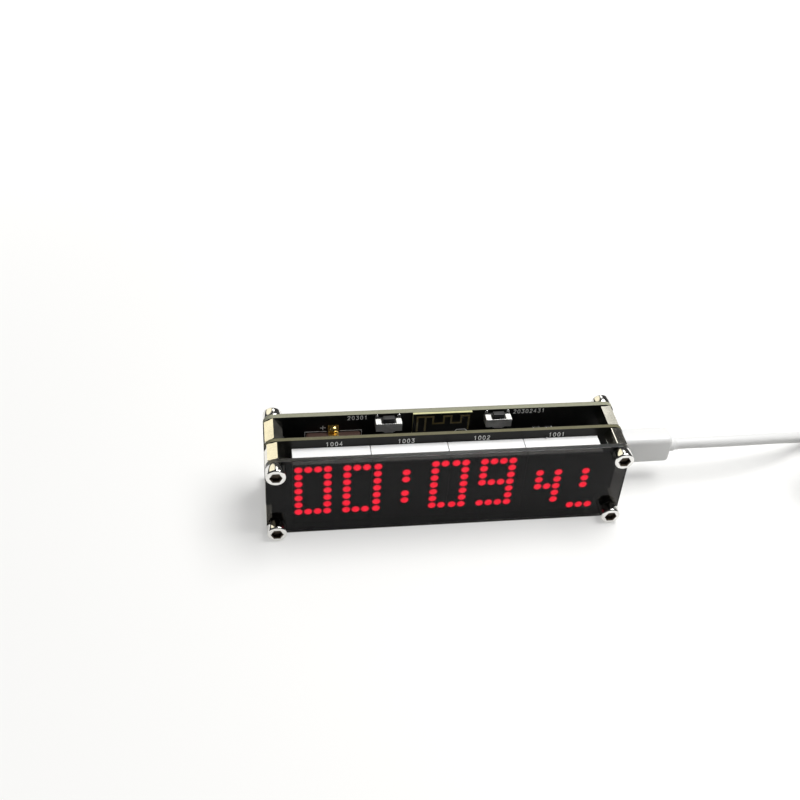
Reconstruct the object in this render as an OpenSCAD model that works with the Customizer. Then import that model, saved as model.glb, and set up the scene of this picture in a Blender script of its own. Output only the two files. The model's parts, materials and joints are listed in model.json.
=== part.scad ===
// Small LED dot matrix clock, millimetres.
// The clock is a stack of upright plates held together by screws and standoffs:
// smoked front panel, four 8 by 8 LED modules, LED board, and main board.
// X runs along the display, Y from front to back, Z up. The origin is on the
// table, under the middle of the stack.

/* [Boards and panel] */
// Length of the front panel and of both circuit boards
board_l = 95.5; // [94:0.5:110]
// Height of the front panel and of both circuit boards
board_h = 25.5; // [25.5:0.5:32]
// Radius of their corners
corner_r = 2.75; // [0.5:0.25:4]
// Thickness of the main board
board_t = 1.6; // [1:0.2:2.4]
// Thickness of the LED board
led_board_t = 1.2; // [0.8:0.1:2.4]
// Thickness of the smoked front panel
panel_t = 1.5; // [1:0.1:4]
// Air between the front panel and the LED modules
panel_gap = 0.1; // [0.1:0.1:2]
// Air between the LED board and the main board
rear_gap = 8; // [7.5:0.5:12]
// Distance from the edges to the centre of each screw hole
hole_margin = 2.6; // [2.6:0.1:3.2]
// Length of the boards that the LED modules leave free at each end
end_room = 7.15; // [7:0.05:8]

/* [LED modules] */
// Thickness of one LED module
module_t = 6.3; // [5.6:0.1:8]
// Gap between neighbouring modules
module_gap = 0.4; // [0.1:0.1:0.6]
// Diameter of one dot
dot_d = 1.9; // [1.2:0.1:2]
// Thickness of the dark face with the dot windows
face_t = 0.6; // [0.3:0.1:1]
// Thickness of the small board in the back of a module
base_t = 1; // [0.6:0.1:1.5]
// Wall of the white module housing
housing_wall = 0.8; // [0.5:0.1:1.2]
// Distance from a module's upper and lower side to its rows of pins
pin_inset = 2.38; // [2:0.02:2.8]
// Distance from a module's left and right side to the first pins
pin_end = 1.11; // [1.11:0.01:1.4]

/* [Fasteners] */
// Diameter of the screw threads
thread_d = 3; // [2.5:0.1:3.2]
// Diameter of the screw heads
head_d = 5.2; // [4.8:0.1:5.2]
// Height of the screw heads
head_h = 3; // [2:0.1:4]
// Width across the flats of the hexagon in a screw head
key_af = 2.5; // [1.5:0.1:3]
// Depth of the hexagon in a screw head
key_depth = 1.4; // [0.8:0.1:1.8]
// How far the screws reach into the standoffs
screw_in = 3; // [2:0.1:3.2]
// Width across the flats of the standoffs
standoff_af = 4.7; // [4.5:0.1:4.7]
// How far the studs of the rear standoffs reach into the front standoffs
stud_in = 2.4; // [1.6:0.1:2.6]

/* [Side switches] */
// Place of the reset switch along the board
reset_x = -14.7; // [-15:0.1:-13]
// Place of the mode switch along the board
mode_x = 15; // [13:0.1:20]
// Distance from the top edge of the board down to the switch housings
switch_drop = 1.1; // [0.8:0.1:2]
// Width of a switch with its metal cover
switch_w = 7; // [6:0.1:7.2]
// How far a switch stands out from the board
switch_up = 3.2; // [2.8:0.1:4]
// Depth of a switch housing, measured downwards
switch_d = 2.4; // [2.2:0.1:3]
// Width of a button
button_w = 3.05; // [2:0.05:3.2]
// Thickness of a button
button_t = 1.5; // [1:0.1:1.6]
// How far a button stands out of its housing at rest
button_out = 1.35; // [0.8:0.05:2]
// Travel of a button
travel = 0.25; // [0.15:0.05:0.3]

/* [Radio module] */
// Width of the radio module
radio_w = 16; // [15:0.5:17]
// Length of the radio module
radio_l = 24; // [22:0.5:24.5]
// Thickness of the radio module's board
radio_t = 0.8; // [0.6:0.1:1.2]
// Width of the shield can
can_w = 14.6; // [12:0.1:14.8]
// Length of the shield can
can_l = 12.2; // [11:0.1:13]
// Height of the shield can
can_h = 2.3; // [2:0.1:3]

/* [Coin cell] */
// Diameter of the coin cell
cell_d = 12.5; // [11:0.1:12.8]
// Thickness of the coin cell
cell_t = 2; // [1.2:0.1:2.5]
// Width and height of the cell holder
holder_w = 14.7; // [14.2:0.1:15]
// How far the cell holder is left of the middle between the board's end and the radio
holder_shift = 1.325; // [0.125:0.05:2.025]
// Width of the spring clip over the cell
clip_w = 2.8; // [2:0.1:4]

/* [USB lead] */
// Height of the USB socket's centre above the table
usb_z = 11.2; // [10.5:0.1:14]
// Depth of the USB socket, measured from the board's right edge
socket_l = 5; // [4.5:0.1:5.5]
// Width of the USB socket
socket_w = 7.5; // [7.3:0.1:8]
// Height of the USB socket above the board
socket_h = 2.6; // [2.5:0.1:3]
// Length of the moulded plug body
plug_l = 16.9; // [14:0.1:22]
// Width of the moulded plug body, measured upwards
plug_w = 8.8; // [8:0.1:10.5]
// Thickness of the moulded plug body
plug_t = 6.2; // [5:0.1:7]
// Diameter of the cable
cable_d = 3.2; // [2.8:0.1:3.2]

/* [Hidden] */
$fn = 48;

// Overshoot of a cutter past the face it opens
cut = 0.1;
// Clearance of a screw in its clearance hole, and of a thread in its bore
hole_clear = 0.1;
thread_clear = 0.05;
// Clearance of a small piece in the pocket that holds it
fit = 0.05;

// The stack along Y, from the front screw heads to the rear ones
standoff_front_l = module_t + panel_gap;
stack_t = 2 * head_h + panel_t + standoff_front_l + led_board_t + rear_gap + board_t;
panel_front = head_h - stack_t / 2;
panel_back = panel_front + panel_t;
module_front = panel_back + panel_gap;
led_front = module_front + module_t;
led_back = led_front + led_board_t;
main_front = led_back + rear_gap;
main_back = main_front + board_t;
middle_z = board_h / 2;

// Holes at the four corners of the panel and boards
hole_x = board_l / 2 - hole_margin;
hole_z = board_h / 2 - hole_margin;
hole_r = thread_d / 2 + hole_clear;
// How far each standoff was turned from corner up when it was tightened: left and
// right, each with its lower and its upper one
FRONT_TURNS = [[21, -15], [-18, 24]];
REAR_TURNS = [[18, 0], [-20, 30]];
bore_r = thread_d / 2;
shank_r = bore_r - thread_clear;

// The display: 32 columns by 8 rows, row 0 on top
MODULES = 4;
MODULE_DOTS = 8;
module_w = (board_l - 2 * end_room - (MODULES - 1) * module_gap) / MODULES;
dot_pitch = module_w / MODULE_DOTS;
LIT = [
    "####.####.....####.####.........",
    "#..#.#..#..#..#..#.#..#.........",
    "#..#.#..#..#..#..#.#..#..#.#..#.",
    "#..#.#..#.....#..#.####..#.#..#.",
    "#..#.#..#..#..#..#....#..###..#.",
    "#..#.#..#..#..#..#....#....#....",
    "####.####.....####.####....#....",
    ".............................###"
];
function module_x(i) = (i - (MODULES - 1) / 2) * (module_w + module_gap);
function dot_x(col) = module_x(floor(col / MODULE_DOTS))
    + (col % MODULE_DOTS - (MODULE_DOTS - 1) / 2) * dot_pitch;
function dot_z(row) = middle_z + ((MODULE_DOTS - 1) / 2 - row) * dot_pitch;

// Pins of the LED modules
pin_r = 0.25;
pin_rows = module_w - 2 * pin_inset;
pin_step = (module_w - 2 * pin_end) / (MODULE_DOTS - 1);
pin_out = 1.4;
pin_hole_r = 0.4;
base_w = module_w - 2 * housing_wall - 2 * fit;

// Places of the switch pieces
housing_top = board_h - switch_drop;
cover_t = 0.2;
housing_w = switch_w - 2 * cover_t;
housing_up = switch_up - cover_t;
neck_h = 0.6;
collar_h = 0.5;
collar_w = button_w + 1;
dome_h = travel + 0.05;
button_y = main_front - housing_up + 1.15;
collar_top = housing_top - neck_h - fit / 2;
dome_z = collar_top - collar_h - dome_h;
cavity_y = [button_y - button_t / 2 - fit, button_y + button_t / 2 + fit];

// Radio module: its top edge is level with the board's
can_drop = 6.5;
radio_front = main_front - radio_t;
can_wall = 0.25;
trace_w = 0.5;
trace_t = 0.05;

// Coin cell holder, held a little below the middle of the board
holder_x = -(board_l + radio_w) / 4 - holder_shift;
holder_z = middle_z - 0.2;
holder_floor = 0.8;
holder_up = holder_floor + cell_t + 0.2;
clip_t = 0.2;
foot_l = 2.4;
pad_r = 1;

// USB socket, plug and cable
usb_y = main_front - socket_h / 2;
shell_t = 0.25;
plug_gap = 0.85;
plug_edge_r = 1.4;
plug_ease = 0.7;
plug_start = board_l / 2 + plug_gap;
plug_end = plug_start + plug_l;
relief_l = 2.9;
relief_r = 2.1;
relief_lip = 0.15;
cable_r = cable_d / 2;
cable_sides = 8;

// The cable's route from the plug's collar to the coil, chosen by hand for the sizes above
RUN = [
    [68.4, 6.45, 11.2], [73, 6.45, 11.2], [78, 6.65, 11], [83, 7.1, 10.6], [88, 7.8, 10],
    [93, 8.65, 9.3], [98, 9.7, 8.4], [102.6, 10.9, 7.3], [107, 12.35, 5.9], [111, 13.95, 4.4],
    [114.4, 15.6, 3.1], [117.1, 17.3, 2.3], [119.4, 19.2, 2.05]
];
// The route from the coil up onto it, to the plug that lies there
TAIL = [
    [152.5, 20.5, 13], [155.3, 17.3, 13.2], [157, 13.4, 13.8], [157.5, 9.2, 14.8],
    [156.7, 5, 16], [154.6, 1.3, 17.1], [151.5, -1.7, 18], [147.7, -3.6, 18.5],
    [143.5, -4.2, 18.65], [140.3, -4.2, 18.65]
];

// How far the end of the plug's collar is from the start of that route. All of the cord
// moves along X with it, and in Y and Z the run leads over to the coil's own place.
collar_move = [plug_end + relief_l, usb_y, usb_z] - RUN[0];
cord_shift = [collar_move[0], 0, 0];
run_end = RUN[len(RUN) - 1];
function to_go(p) = min(1, (run_end[0] - p[0]) / (run_end[0] - RUN[1][0]));
run_path = [for (p = RUN) p + cord_shift + to_go(p) * (collar_move - cord_shift)];
tail_path = [for (p = TAIL) p + cord_shift];

// The coil: four layers of turns, wound clockwise seen from above
COIL_AT = [136.5, 6.5];
COIL_FROM = 135;
COIL_TO = 50;
COIL_TURNS = 8;
COIL_LAYERS = 4;
COIL_MID_R = 17.2;
COIL_PITCH = 3.65;
LOOP_RINGS = 24;
coil_sides = 6;
coil_sweep = 360 * COIL_TURNS + COIL_FROM - COIL_TO;
layer_sweep = coil_sweep / COIL_LAYERS;
coil_out_r = COIL_MID_R + COIL_PITCH * layer_sweep / 720;
coil_in_r = COIL_MID_R - COIL_PITCH * layer_sweep / 720;
tie_t = 0.4;
tie_w = 5;
tie_angle = 90;
coil_z = tie_t + fit + cable_r;
coil_top = coil_z + (COIL_LAYERS - 1) * COIL_PITCH + cable_r;

// The plug at the far end lies on the coil
a_body_l = 18;
a_body_w = 16;
a_body_t = 8;
a_edge_r = 1.8;
a_ease = 0.8;
a_relief_l = 4;
a_relief_r = 2.8;
a_shell_l = 11.75;
a_shell_w = 12;
a_shell_t = 4.5;
a_wall = 0.3;
a_end = tail_path[len(TAIL) - 1];

// Chip sizes: length, width, height, and width over the leads
DRIVER = [15.4, 7.5, 2.35, 10.3];
USB_CHIP = [9.9, 3.9, 1.6, 6];
CLOCK_CHIP = [10.3, 6, 2.35, 8.8];
REGULATOR = [6.5, 3.5, 1.6, 7];
// Sizes of the small parts, and for the crystal also its corner radius
CAPACITOR = [2, 1.25, 0.95];
POWER_CAPACITOR = [2.8, 3.5, 1.9];
RESISTOR = [2, 1.25, 0.5];
CRYSTAL = [5, 3.2, 0.9, 0.5];
lead_t = 0.2;
lead_w = 0.4;
lead_pitch = 1.27;
chip_stand = 0.12;

// An outline in X and Z drawn as a plate of thickness t that starts at y
module upright(y, t) {
    translate([0, y + t, 0]) rotate([90, 0, 0]) linear_extrude(t) children();
}

// An outline in Y and Z drawn as a bar of length l that starts at x
module along_x(x, l) {
    translate([x, 0, 0]) rotate([90, 0, 90]) linear_extrude(l) children();
}

// A box from its lowest to its highest corner
module box(low, high) {
    translate(low) cube(high - low);
}

// A rectangle with round corners, centred
module rounded(l, h, r) {
    square([l - 2 * r, h], center = true);
    square([l, h - 2 * r], center = true);
    for (x = [-1, 1], y = [-1, 1]) translate([x * (l / 2 - r), y * (h / 2 - r)]) circle(r);
}

// Draws its children at the four corners, each turned by its own angle, if any are given
module at_corners(turns = [[0, 0], [0, 0]]) {
    for (x = [0, 1], z = [0, 1])
        translate([(2 * x - 1) * hole_x, middle_z + (2 * z - 1) * hole_z]) rotate(turns[x][z]) children();
}

module board_outline() {
    difference() {
        translate([0, middle_z]) rounded(board_l, board_h, corner_r);
        at_corners() circle(hole_r);
    }
}

// Puts a part on the rear face of the LED board; its own Z points away from the board
module on_led_back(x, z) {
    translate([x, led_back, z]) rotate([-90, 0, 0]) children();
}

// Puts a part on the front face of the main board; its own Z points away from the board
module on_main_front(x, z) {
    translate([x, main_front, z]) rotate([90, 0, 0]) children();
}

// Smoked acrylic front panel
module front_panel() {
    color([0.06, 0.06, 0.06, 0.75]) upright(panel_front, panel_t) board_outline();
}

// White housing of LED module i, with a recess behind for its small board
module led_housing(i) {
    block_t = module_t - face_t - base_t;
    color("white") translate([module_x(i), 0, middle_z]) {
        upright(module_front + face_t, block_t) square(module_w, center = true);
        upright(led_front - base_t, base_t) difference() {
            square(module_w, center = true);
            square(base_w + 2 * fit, center = true);
        }
    }
}

// Dark faces of the four modules, with a round window for every dot
module led_faces() {
    color([0.12, 0.12, 0.12]) for (i = [0 : MODULES - 1]) upright(module_front, face_t) difference() {
        translate([module_x(i), middle_z]) square(module_w, center = true);
        for (col = [i * MODULE_DOTS : (i + 1) * MODULE_DOTS - 1], row = [0 : MODULE_DOTS - 1])
            translate([dot_x(col), dot_z(row)]) circle(d = dot_d, $fn = 24);
    }
}

// The resin dots whose state is "#" for lit or "." for dark
module led_dots(state) {
    upright(module_front, face_t)
        for (row = [0 : MODULE_DOTS - 1], col = [0 : len(LIT[row]) - 1])
            if (LIT[row][col] == state)
                translate([dot_x(col), dot_z(row)]) circle(d = dot_d - fit, $fn = 24);
}

module led_dots_lit() {
    color("red") led_dots("#");
}

module led_dots_dark() {
    color([0.75, 0.72, 0.7]) led_dots(".");
}

module led_base_boards() {
    color("darkgreen") for (i = [0 : MODULES - 1])
        upright(led_front - base_t, base_t) translate([module_x(i), middle_z]) square(base_w, center = true);
}

// Places of the module pins, as X and Z
function pin_places() = [
    for (i = [0 : MODULES - 1], k = [0 : MODULE_DOTS - 1], side = [-1, 1])
        [module_x(i) + (k - (MODULE_DOTS - 1) / 2) * pin_step, middle_z + side * pin_rows / 2]
];

module led_pins() {
    color("silver") upright(led_front, led_board_t + pin_out)
        for (p = pin_places()) translate(p) circle(pin_r, $fn = 16);
}

module led_board() {
    color([0.08, 0.08, 0.07]) upright(led_front, led_board_t) difference() {
        board_outline();
        for (p = pin_places()) translate(p) circle(pin_hole_r, $fn = 16);
    }
}

// Header pins along a short upright row, as X and Z
header_in = 4.25;
header_x = -board_l / 2 + header_in;
HEADER_PINS = 5;
header_pitch = 2.54;
function header_places() = [
    for (k = [0 : HEADER_PINS - 1]) [header_x, middle_z + (k - (HEADER_PINS - 1) / 2) * header_pitch]
];
header_base_h = 2.5;
header_socket_h = rear_gap - header_base_h - fit;
header_pin_w = 0.64;
header_hole_r = 0.5;
header_reach = 4;

module main_board() {
    color([0.05, 0.05, 0.05]) upright(main_front, board_t) difference() {
        board_outline();
        for (p = header_places()) translate(p) circle(header_hole_r, $fn = 16);
    }
}

// Outline of a standoff, with a corner pointing up
module hexagon(af) {
    rotate(30) circle(r = af / 2 / cos(30), $fn = 6);
}

module front_standoffs() {
    color([0.85, 0.83, 0.76]) upright(panel_back, standoff_front_l) at_corners(FRONT_TURNS) difference() {
        hexagon(standoff_af);
        circle(bore_r);
    }
}

// Rear standoffs: a stud in front goes through the LED board into the front standoff
module rear_standoffs() {
    bore_l = screw_in + 0.6;
    stud_l = led_board_t + stud_in;
    color([0.85, 0.83, 0.76]) {
        upright(led_back, rear_gap - bore_l) at_corners(REAR_TURNS) hexagon(standoff_af);
        upright(main_front - bore_l, bore_l) at_corners(REAR_TURNS) difference() {
            hexagon(standoff_af);
            circle(bore_r);
        }
        upright(led_back - stud_l, stud_l) at_corners() circle(shank_r);
    }
}

// Socket head screw along Z: the head is below Z = 0 and the shank, of length l, above
module socket_screw(l) {
    bevel = 0.35;
    tip = 0.4;
    difference() {
        rotate_extrude() polygon([
            [0, -head_h], [head_d / 2 - bevel, -head_h], [head_d / 2, -head_h + bevel],
            [head_d / 2, 0], [shank_r, 0], [shank_r, l - tip], [shank_r - tip, l], [0, l]
        ]);
        translate([0, 0, -head_h - cut]) linear_extrude(key_depth + cut)
            circle(r = key_af / 2 / cos(30), $fn = 6);
    }
}

module front_screws() {
    color("silver") for (x = [-1, 1], z = [-1, 1])
        translate([x * hole_x, panel_front, middle_z + z * hole_z]) rotate([-90, 0, 0])
            socket_screw(panel_t + screw_in);
}

module rear_screws() {
    color("silver") for (x = [-1, 1], z = [-1, 1])
        translate([x * hole_x, main_back, middle_z + z * hole_z]) rotate([90, 0, 0])
            socket_screw(board_t + screw_in);
}

// Black housing of a side switch, with a neck for the button and a cavity below it
module switch_housing(x) {
    color([0.1, 0.1, 0.1]) translate([x, 0, 0]) difference() {
        box([-housing_w / 2, main_front - housing_up, housing_top - switch_d],
            [housing_w / 2, main_front, housing_top]);
        box([-button_w / 2 - fit, cavity_y[0], housing_top - neck_h - cut],
            [button_w / 2 + fit, cavity_y[1], housing_top + cut]);
        box([-collar_w / 2 - fit, cavity_y[0], dome_z],
            [collar_w / 2 + fit, cavity_y[1], housing_top - neck_h]);
    }
}

// Folded metal cover: front plate, side wings, two shoulders beside the button, bottom tab
module switch_cover(x) {
    front = main_front - switch_up;
    shoulder_x = button_w / 2 + 0.45;
    tab_w = 3.3;
    low = housing_top - switch_d;
    color("silver") translate([x, 0, 0]) {
        box([-switch_w / 2, front, low], [switch_w / 2, front + cover_t, housing_top + cover_t]);
        box([-tab_w / 2, front, low - cover_t], [tab_w / 2, front + 1.2, low]);
        for (side = [0, 1]) mirror([side, 0, 0]) {
            box([housing_w / 2, front, low + 0.3], [switch_w / 2, main_front, housing_top + cover_t]);
            box([shoulder_x, front, housing_top], [switch_w / 2, main_front - 0.8, housing_top + cover_t]);
        }
    }
}

// Four solder feet, above and below the housing
module switch_terminals(x) {
    foot_w = 0.7;
    foot_x = housing_w / 2 - foot_w / 2 - fit;
    foot_out = 0.7;
    color("gainsboro") for (side = [-1, 1]) translate([x + side * foot_x - foot_w / 2, 0, 0]) {
        box([0, main_front - lead_t, housing_top], [foot_w, main_front, housing_top + foot_out]);
        box([0, main_front - lead_t, housing_top - switch_d - foot_out],
            [foot_w, main_front, housing_top - switch_d]);
    }
}

// Thin snap dome under the button
module switch_dome(x) {
    leaf = 0.06;
    foot_r = button_t / 2;
    color("goldenrod") translate([x, button_y, dome_z]) difference() {
        cylinder(r1 = foot_r, r2 = foot_r / 2, h = dome_h, $fn = 32);
        translate([0, 0, -leaf]) cylinder(r1 = foot_r, r2 = foot_r / 2, h = dome_h, $fn = 32);
    }
}

// Button with a collar that keeps it in the housing
module switch_button(x) {
    color([0.12, 0.12, 0.13]) translate([x, 0, 0]) {
        box([-button_w / 2, button_y - button_t / 2, collar_top],
            [button_w / 2, button_y + button_t / 2, housing_top + button_out]);
        box([-collar_w / 2, button_y - button_t / 2, collar_top - collar_h],
            [collar_w / 2, button_y + button_t / 2, collar_top]);
    }
}

module radio_board() {
    color([0.09, 0.09, 0.08]) upright(radio_front, radio_t)
        translate([0, board_h - radio_l / 2]) square([radio_w, radio_l], center = true);
}

// Printed antenna: two feet on the left, then a meander to the right
module radio_antenna() {
    legs = [-6.8, -2.5, 0.4, 2.4, 5.1, 7.2];
    feed = -4.6;
    top = board_h - 0.8;
    low = board_h - 3.7;
    foot = board_h - 6;
    h = trace_w / 2;
    color("gold") upright(radio_front - trace_t, trace_t) {
        translate([legs[0] - h, foot]) square([trace_w, top - foot]);
        translate([feed - h, foot]) square([trace_w, top - foot]);
        for (k = [1 : 4]) translate([legs[k] - h, low]) square([trace_w, top - low]);
        translate([legs[5] - h, foot]) square([trace_w, top - foot]);
        for (k = [0 : 4])
            translate([legs[k] - h, k % 2 == 0 ? top - trace_w : low])
                square([legs[k + 1] - legs[k] + trace_w, trace_w]);
    }
}

module radio_shield() {
    middle = board_h - can_drop - can_l / 2;
    color("lightgray") translate([0, 0, middle]) {
        upright(radio_front - can_h, can_wall) square([can_w, can_l], center = true);
        upright(radio_front - can_h + can_wall, can_h - can_wall) difference() {
            square([can_w, can_l], center = true);
            square([can_w - 2 * can_wall, can_l - 2 * can_wall], center = true);
        }
    }
}

// Processor and memory under the shield
module radio_chips() {
    middle = board_h - can_drop - can_l / 2;
    color([0.15, 0.15, 0.15]) {
        upright(radio_front - 0.85, 0.85) translate([-3, middle + 0.5]) square(5, center = true);
        upright(radio_front - 1.6, 1.6) translate([4, middle - 0.5]) square([4, 5.3], center = true);
    }
}

// Tray of the backup cell, with a round pocket
module cell_holder() {
    color([0.23, 0.15, 0.11]) on_main_front(holder_x, holder_z) difference() {
        linear_extrude(holder_up) rounded(holder_w, holder_w, 0.8);
        translate([0, 0, holder_floor]) cylinder(d = cell_d + 4 * fit, h = holder_up);
    }
}

module coin_cell() {
    bevel = 0.3;
    color("silver") on_main_front(holder_x, holder_z) translate([0, 0, holder_floor]) {
        cylinder(d = cell_d, h = cell_t - bevel);
        translate([0, 0, cell_t - bevel]) cylinder(d1 = cell_d, d2 = cell_d - 2 * bevel, h = bevel);
    }
}

// Spring clip over the cell: foot, riser, bridge, riser, foot, with a contact pad in the middle
module cell_clip() {
    half = holder_w / 2;
    color("gold") on_main_front(holder_x, holder_z) {
        along_x(-clip_w / 2, clip_w) polygon([
            [-half - foot_l, 0], [-half - foot_l, clip_t], [-half - clip_t, clip_t],
            [-half - clip_t, holder_up + clip_t], [half + clip_t, holder_up + clip_t],
            [half + clip_t, clip_t], [half + foot_l, clip_t], [half + foot_l, 0],
            [half, 0], [half, holder_up], [-half, holder_up], [-half, 0]
        ]);
        translate([0, 0, holder_floor + cell_t])
            cylinder(r = pad_r, h = holder_up - holder_floor - cell_t);
    }
}

// Metal shell of the USB socket, open to the right
module usb_socket_shell() {
    color("silver") translate([0, usb_y, usb_z]) along_x(board_l / 2 - socket_l, socket_l) difference() {
        rounded(socket_h, socket_w, 0.5);
        rounded(socket_h - 2 * shell_t, socket_w - 2 * shell_t, 0.3);
    }
}

// Insulator of the socket: a block at the back and a thin tongue
module usb_socket_tongue() {
    back = board_l / 2 - socket_l;
    block_l = 1.1;
    inner_t = socket_h - 2 * shell_t;
    inner_w = socket_w - 2 * shell_t;
    color([0.15, 0.15, 0.15]) translate([0, usb_y, usb_z]) {
        along_x(back, block_l) rounded(inner_t, inner_w, 0.3);
        along_x(back + block_l, socket_l - block_l - 0.6) square([0.6, 3.8], center = true);
    }
}

// Metal shell of the plug, pushed into the socket
module usb_plug_shell() {
    outer_t = socket_h - 2 * shell_t - 4 * fit;
    outer_w = socket_w - 2 * shell_t - 3 * fit;
    wall = 0.2;
    start = board_l / 2 - socket_l + 1.3;
    color("lightgray") translate([0, usb_y, usb_z]) along_x(start, plug_start - start) difference() {
        rounded(outer_t, outer_w, 0.4);
        rounded(outer_t - 2 * wall, outer_w - 2 * wall, 0.2);
    }
}

// A moulded block along X with round long edges and eased ends
module moulded(x, l, t, w, r, ease) {
    hull() {
        along_x(x + ease, l - 2 * ease) rounded(t, w, r, $fn = 32);
        along_x(x, l) rounded(t - 2 * ease, w - 2 * ease, r - ease / 2, $fn = 32);
    }
}

module usb_plug_body() {
    color("white") translate([0, usb_y, usb_z])
        moulded(plug_start, plug_l, plug_t, plug_w, plug_edge_r, plug_ease);
}

module usb_plug_relief() {
    color("white") translate([plug_end, usb_y, usb_z]) rotate([0, 90, 0]) {
        cylinder(r = relief_r, h = relief_l * 0.4);
        cylinder(r1 = relief_r, r2 = cable_r + relief_lip, h = relief_l);
    }
}

// Sweep of a ring of sides around a path: each ring stands square to the path
function unit(v) = v / norm(v);
function heading(path, k) =
    unit(path[min(k + 1, len(path) - 1)] - path[max(k - 1, 0)]);
function ring(at, dir, r, sides) =
    let (side = unit(cross(dir, [0, 0, 1])), up = cross(side, dir))
    [for (s = [0 : sides - 1]) at + r * (cos(s * 360 / sides) * side + sin(s * 360 / sides) * up)];

module swept(path, r, sides) {
    n = len(path);
    points = [for (k = [0 : n - 1]) each ring(path[k], heading(path, k), r, sides)];
    walls = [
        for (k = [0 : n - 2], s = [0 : sides - 1]) let (
            a = k * sides + s,
            b = k * sides + (s + 1) % sides
        ) each [[a, b, b + sides], [a, b + sides, a + sides]]
    ];
    ends = [
        for (s = [1 : sides - 2]) each [[0, s + 1, s], (n - 1) * sides * [1, 1, 1] + [0, s, s + 1]]
    ];
    polyhedron(points, concat(walls, ends));
}

module cable_run() {
    color("white") swept(run_path, cable_r, cable_sides);
}

module cable_tail() {
    color("white") swept(tail_path, cable_r, cable_sides);
}

// A point of the coil after it has turned through sweep degrees. The radius goes in and
// out again at a steady rate, and the height climbs in the half turn round each reversal.
function ease_up(t) = t <= 0 ? 0 : t >= 1 ? 1 : t * t * (3 - 2 * t);
function coil_radius(sweep) =
    let (part = sweep / layer_sweep, way = part - 2 * floor(part / 2))
    coil_in_r + (coil_out_r - coil_in_r) * abs(1 - way);
function coil_height(sweep, layer = 1) =
    layer >= COIL_LAYERS ? coil_z
    : coil_height(sweep, layer + 1) + COIL_PITCH * ease_up((sweep - layer * layer_sweep + 90) / 180);
function coil_point(sweep) =
    let (angle = COIL_FROM - sweep, r = coil_radius(sweep))
    [COIL_AT[0] + r * cos(angle), COIL_AT[1] + r * sin(angle), coil_height(sweep)] + cord_shift;

// The coil's path, with a straight end of one cable diameter at each side
coil_rings = round(coil_sweep / 360 * LOOP_RINGS);
coil_turned = [for (k = [0 : coil_rings]) coil_point(k * coil_sweep / coil_rings)];
function straight(angle) = cable_d * [sin(angle), -cos(angle), 0];
coil_path = concat(
    [coil_turned[0] - straight(COIL_FROM)],
    coil_turned,
    [coil_turned[coil_rings] + straight(COIL_TO)]
);

module cable_coil() {
    color("white") swept(coil_path, cable_r, coil_sides);
}

// The least gap of the coil to itself, between points over a third of a turn apart
coil_gap = min([
    for (i = [0 : coil_rings - 9], j = [i + 8 : coil_rings])
        norm(coil_turned[i] - coil_turned[j])
]) - cable_d;
echo(coil_gap = coil_gap);

// A strap round the bundle of turns
module cable_tie() {
    eye_r = coil_in_r - cable_r;
    inner = [sqrt(eye_r * eye_r - tie_w * tie_w / 4) - fit, coil_out_r + cable_r + fit];
    eye_w = inner[1] - inner[0];
    color([0.15, 0.15, 0.15]) translate(cord_shift + [COIL_AT[0], COIL_AT[1], 0])
        rotate(tie_angle - 90) along_x(-tie_w / 2, tie_w) difference() {
            translate([inner[0] - tie_t, 0]) square([eye_w + 2 * tie_t, coil_top + fit + tie_t]);
            translate([inner[0], tie_t]) square([eye_w, coil_top + fit - tie_t]);
        }
}

module usb_a_relief() {
    color("white") translate(a_end) rotate([0, -90, 0])
        cylinder(r1 = cable_r + relief_lip, r2 = a_relief_r, h = a_relief_l);
}

module usb_a_body() {
    color("white") translate([0, a_end[1], a_end[2]])
        moulded(a_end[0] - a_relief_l - a_body_l, a_body_l, a_body_w, a_body_t, a_edge_r, a_ease);
}

// Metal shell of the far plug, open at its end
module usb_a_shell() {
    color("silver") translate([0, a_end[1], a_end[2]])
        along_x(a_end[0] - a_relief_l - a_body_l - a_shell_l, a_shell_l) difference() {
            rounded(a_shell_w, a_shell_t, 0.5);
            rounded(a_shell_w - 2 * a_wall, a_shell_t - 2 * a_wall, 0.3);
        }
}

module usb_a_tongue() {
    tongue_t = 1.85;
    inside = a_shell_w - 2 * a_wall;
    color([0.95, 0.95, 0.95]) translate([0, a_end[1], a_end[2] + a_shell_t / 2 - a_wall - tongue_t / 2])
        along_x(a_end[0] - a_relief_l - a_body_l - a_shell_l + 0.6, a_shell_l - 0.6)
            square([inside - 0.6, tongue_t], center = true);
}

// Body of a chip that lies on its board, length along X
module chip_body(size) {
    translate([-size[0] / 2, -size[1] / 2, chip_stand]) cube([size[0], size[1], size[2] - chip_stand]);
}

// Bent leads along the long sides of a chip: side 0 is above its middle, side 1 below
module gull_leads(size, per_side, pitch, w = lead_w, sides = [0, 1]) {
    mid = size[2] / 2 + lead_t;
    in = size[1] / 2;
    out = size[3] / 2;
    for (side = sides, k = [0 : per_side - 1])
        mirror([0, side, 0]) along_x((k - (per_side - 1) / 2) * pitch - w / 2, w) polygon([
            [in, mid], [in + 0.35, mid], [in + 0.65, lead_t], [out, lead_t], [out, 0],
            [in + 0.5, 0], [in + 0.2, mid - lead_t], [in, mid - lead_t]
        ]);
}

module driver_chips() {
    color([0.13, 0.13, 0.13])
        for (i = [0 : MODULES - 1]) on_led_back(module_x(i), middle_z) chip_body(DRIVER);
}

module driver_leads() {
    color("silver") for (i = [0 : MODULES - 1])
        on_led_back(module_x(i), middle_z) gull_leads(DRIVER, 12, lead_pitch);
}

// Place along the main board, as a share of the way from the radio to the USB socket
function right_x(share) = radio_w / 2 + share * (board_l / 2 - socket_l - radio_w / 2);

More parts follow.
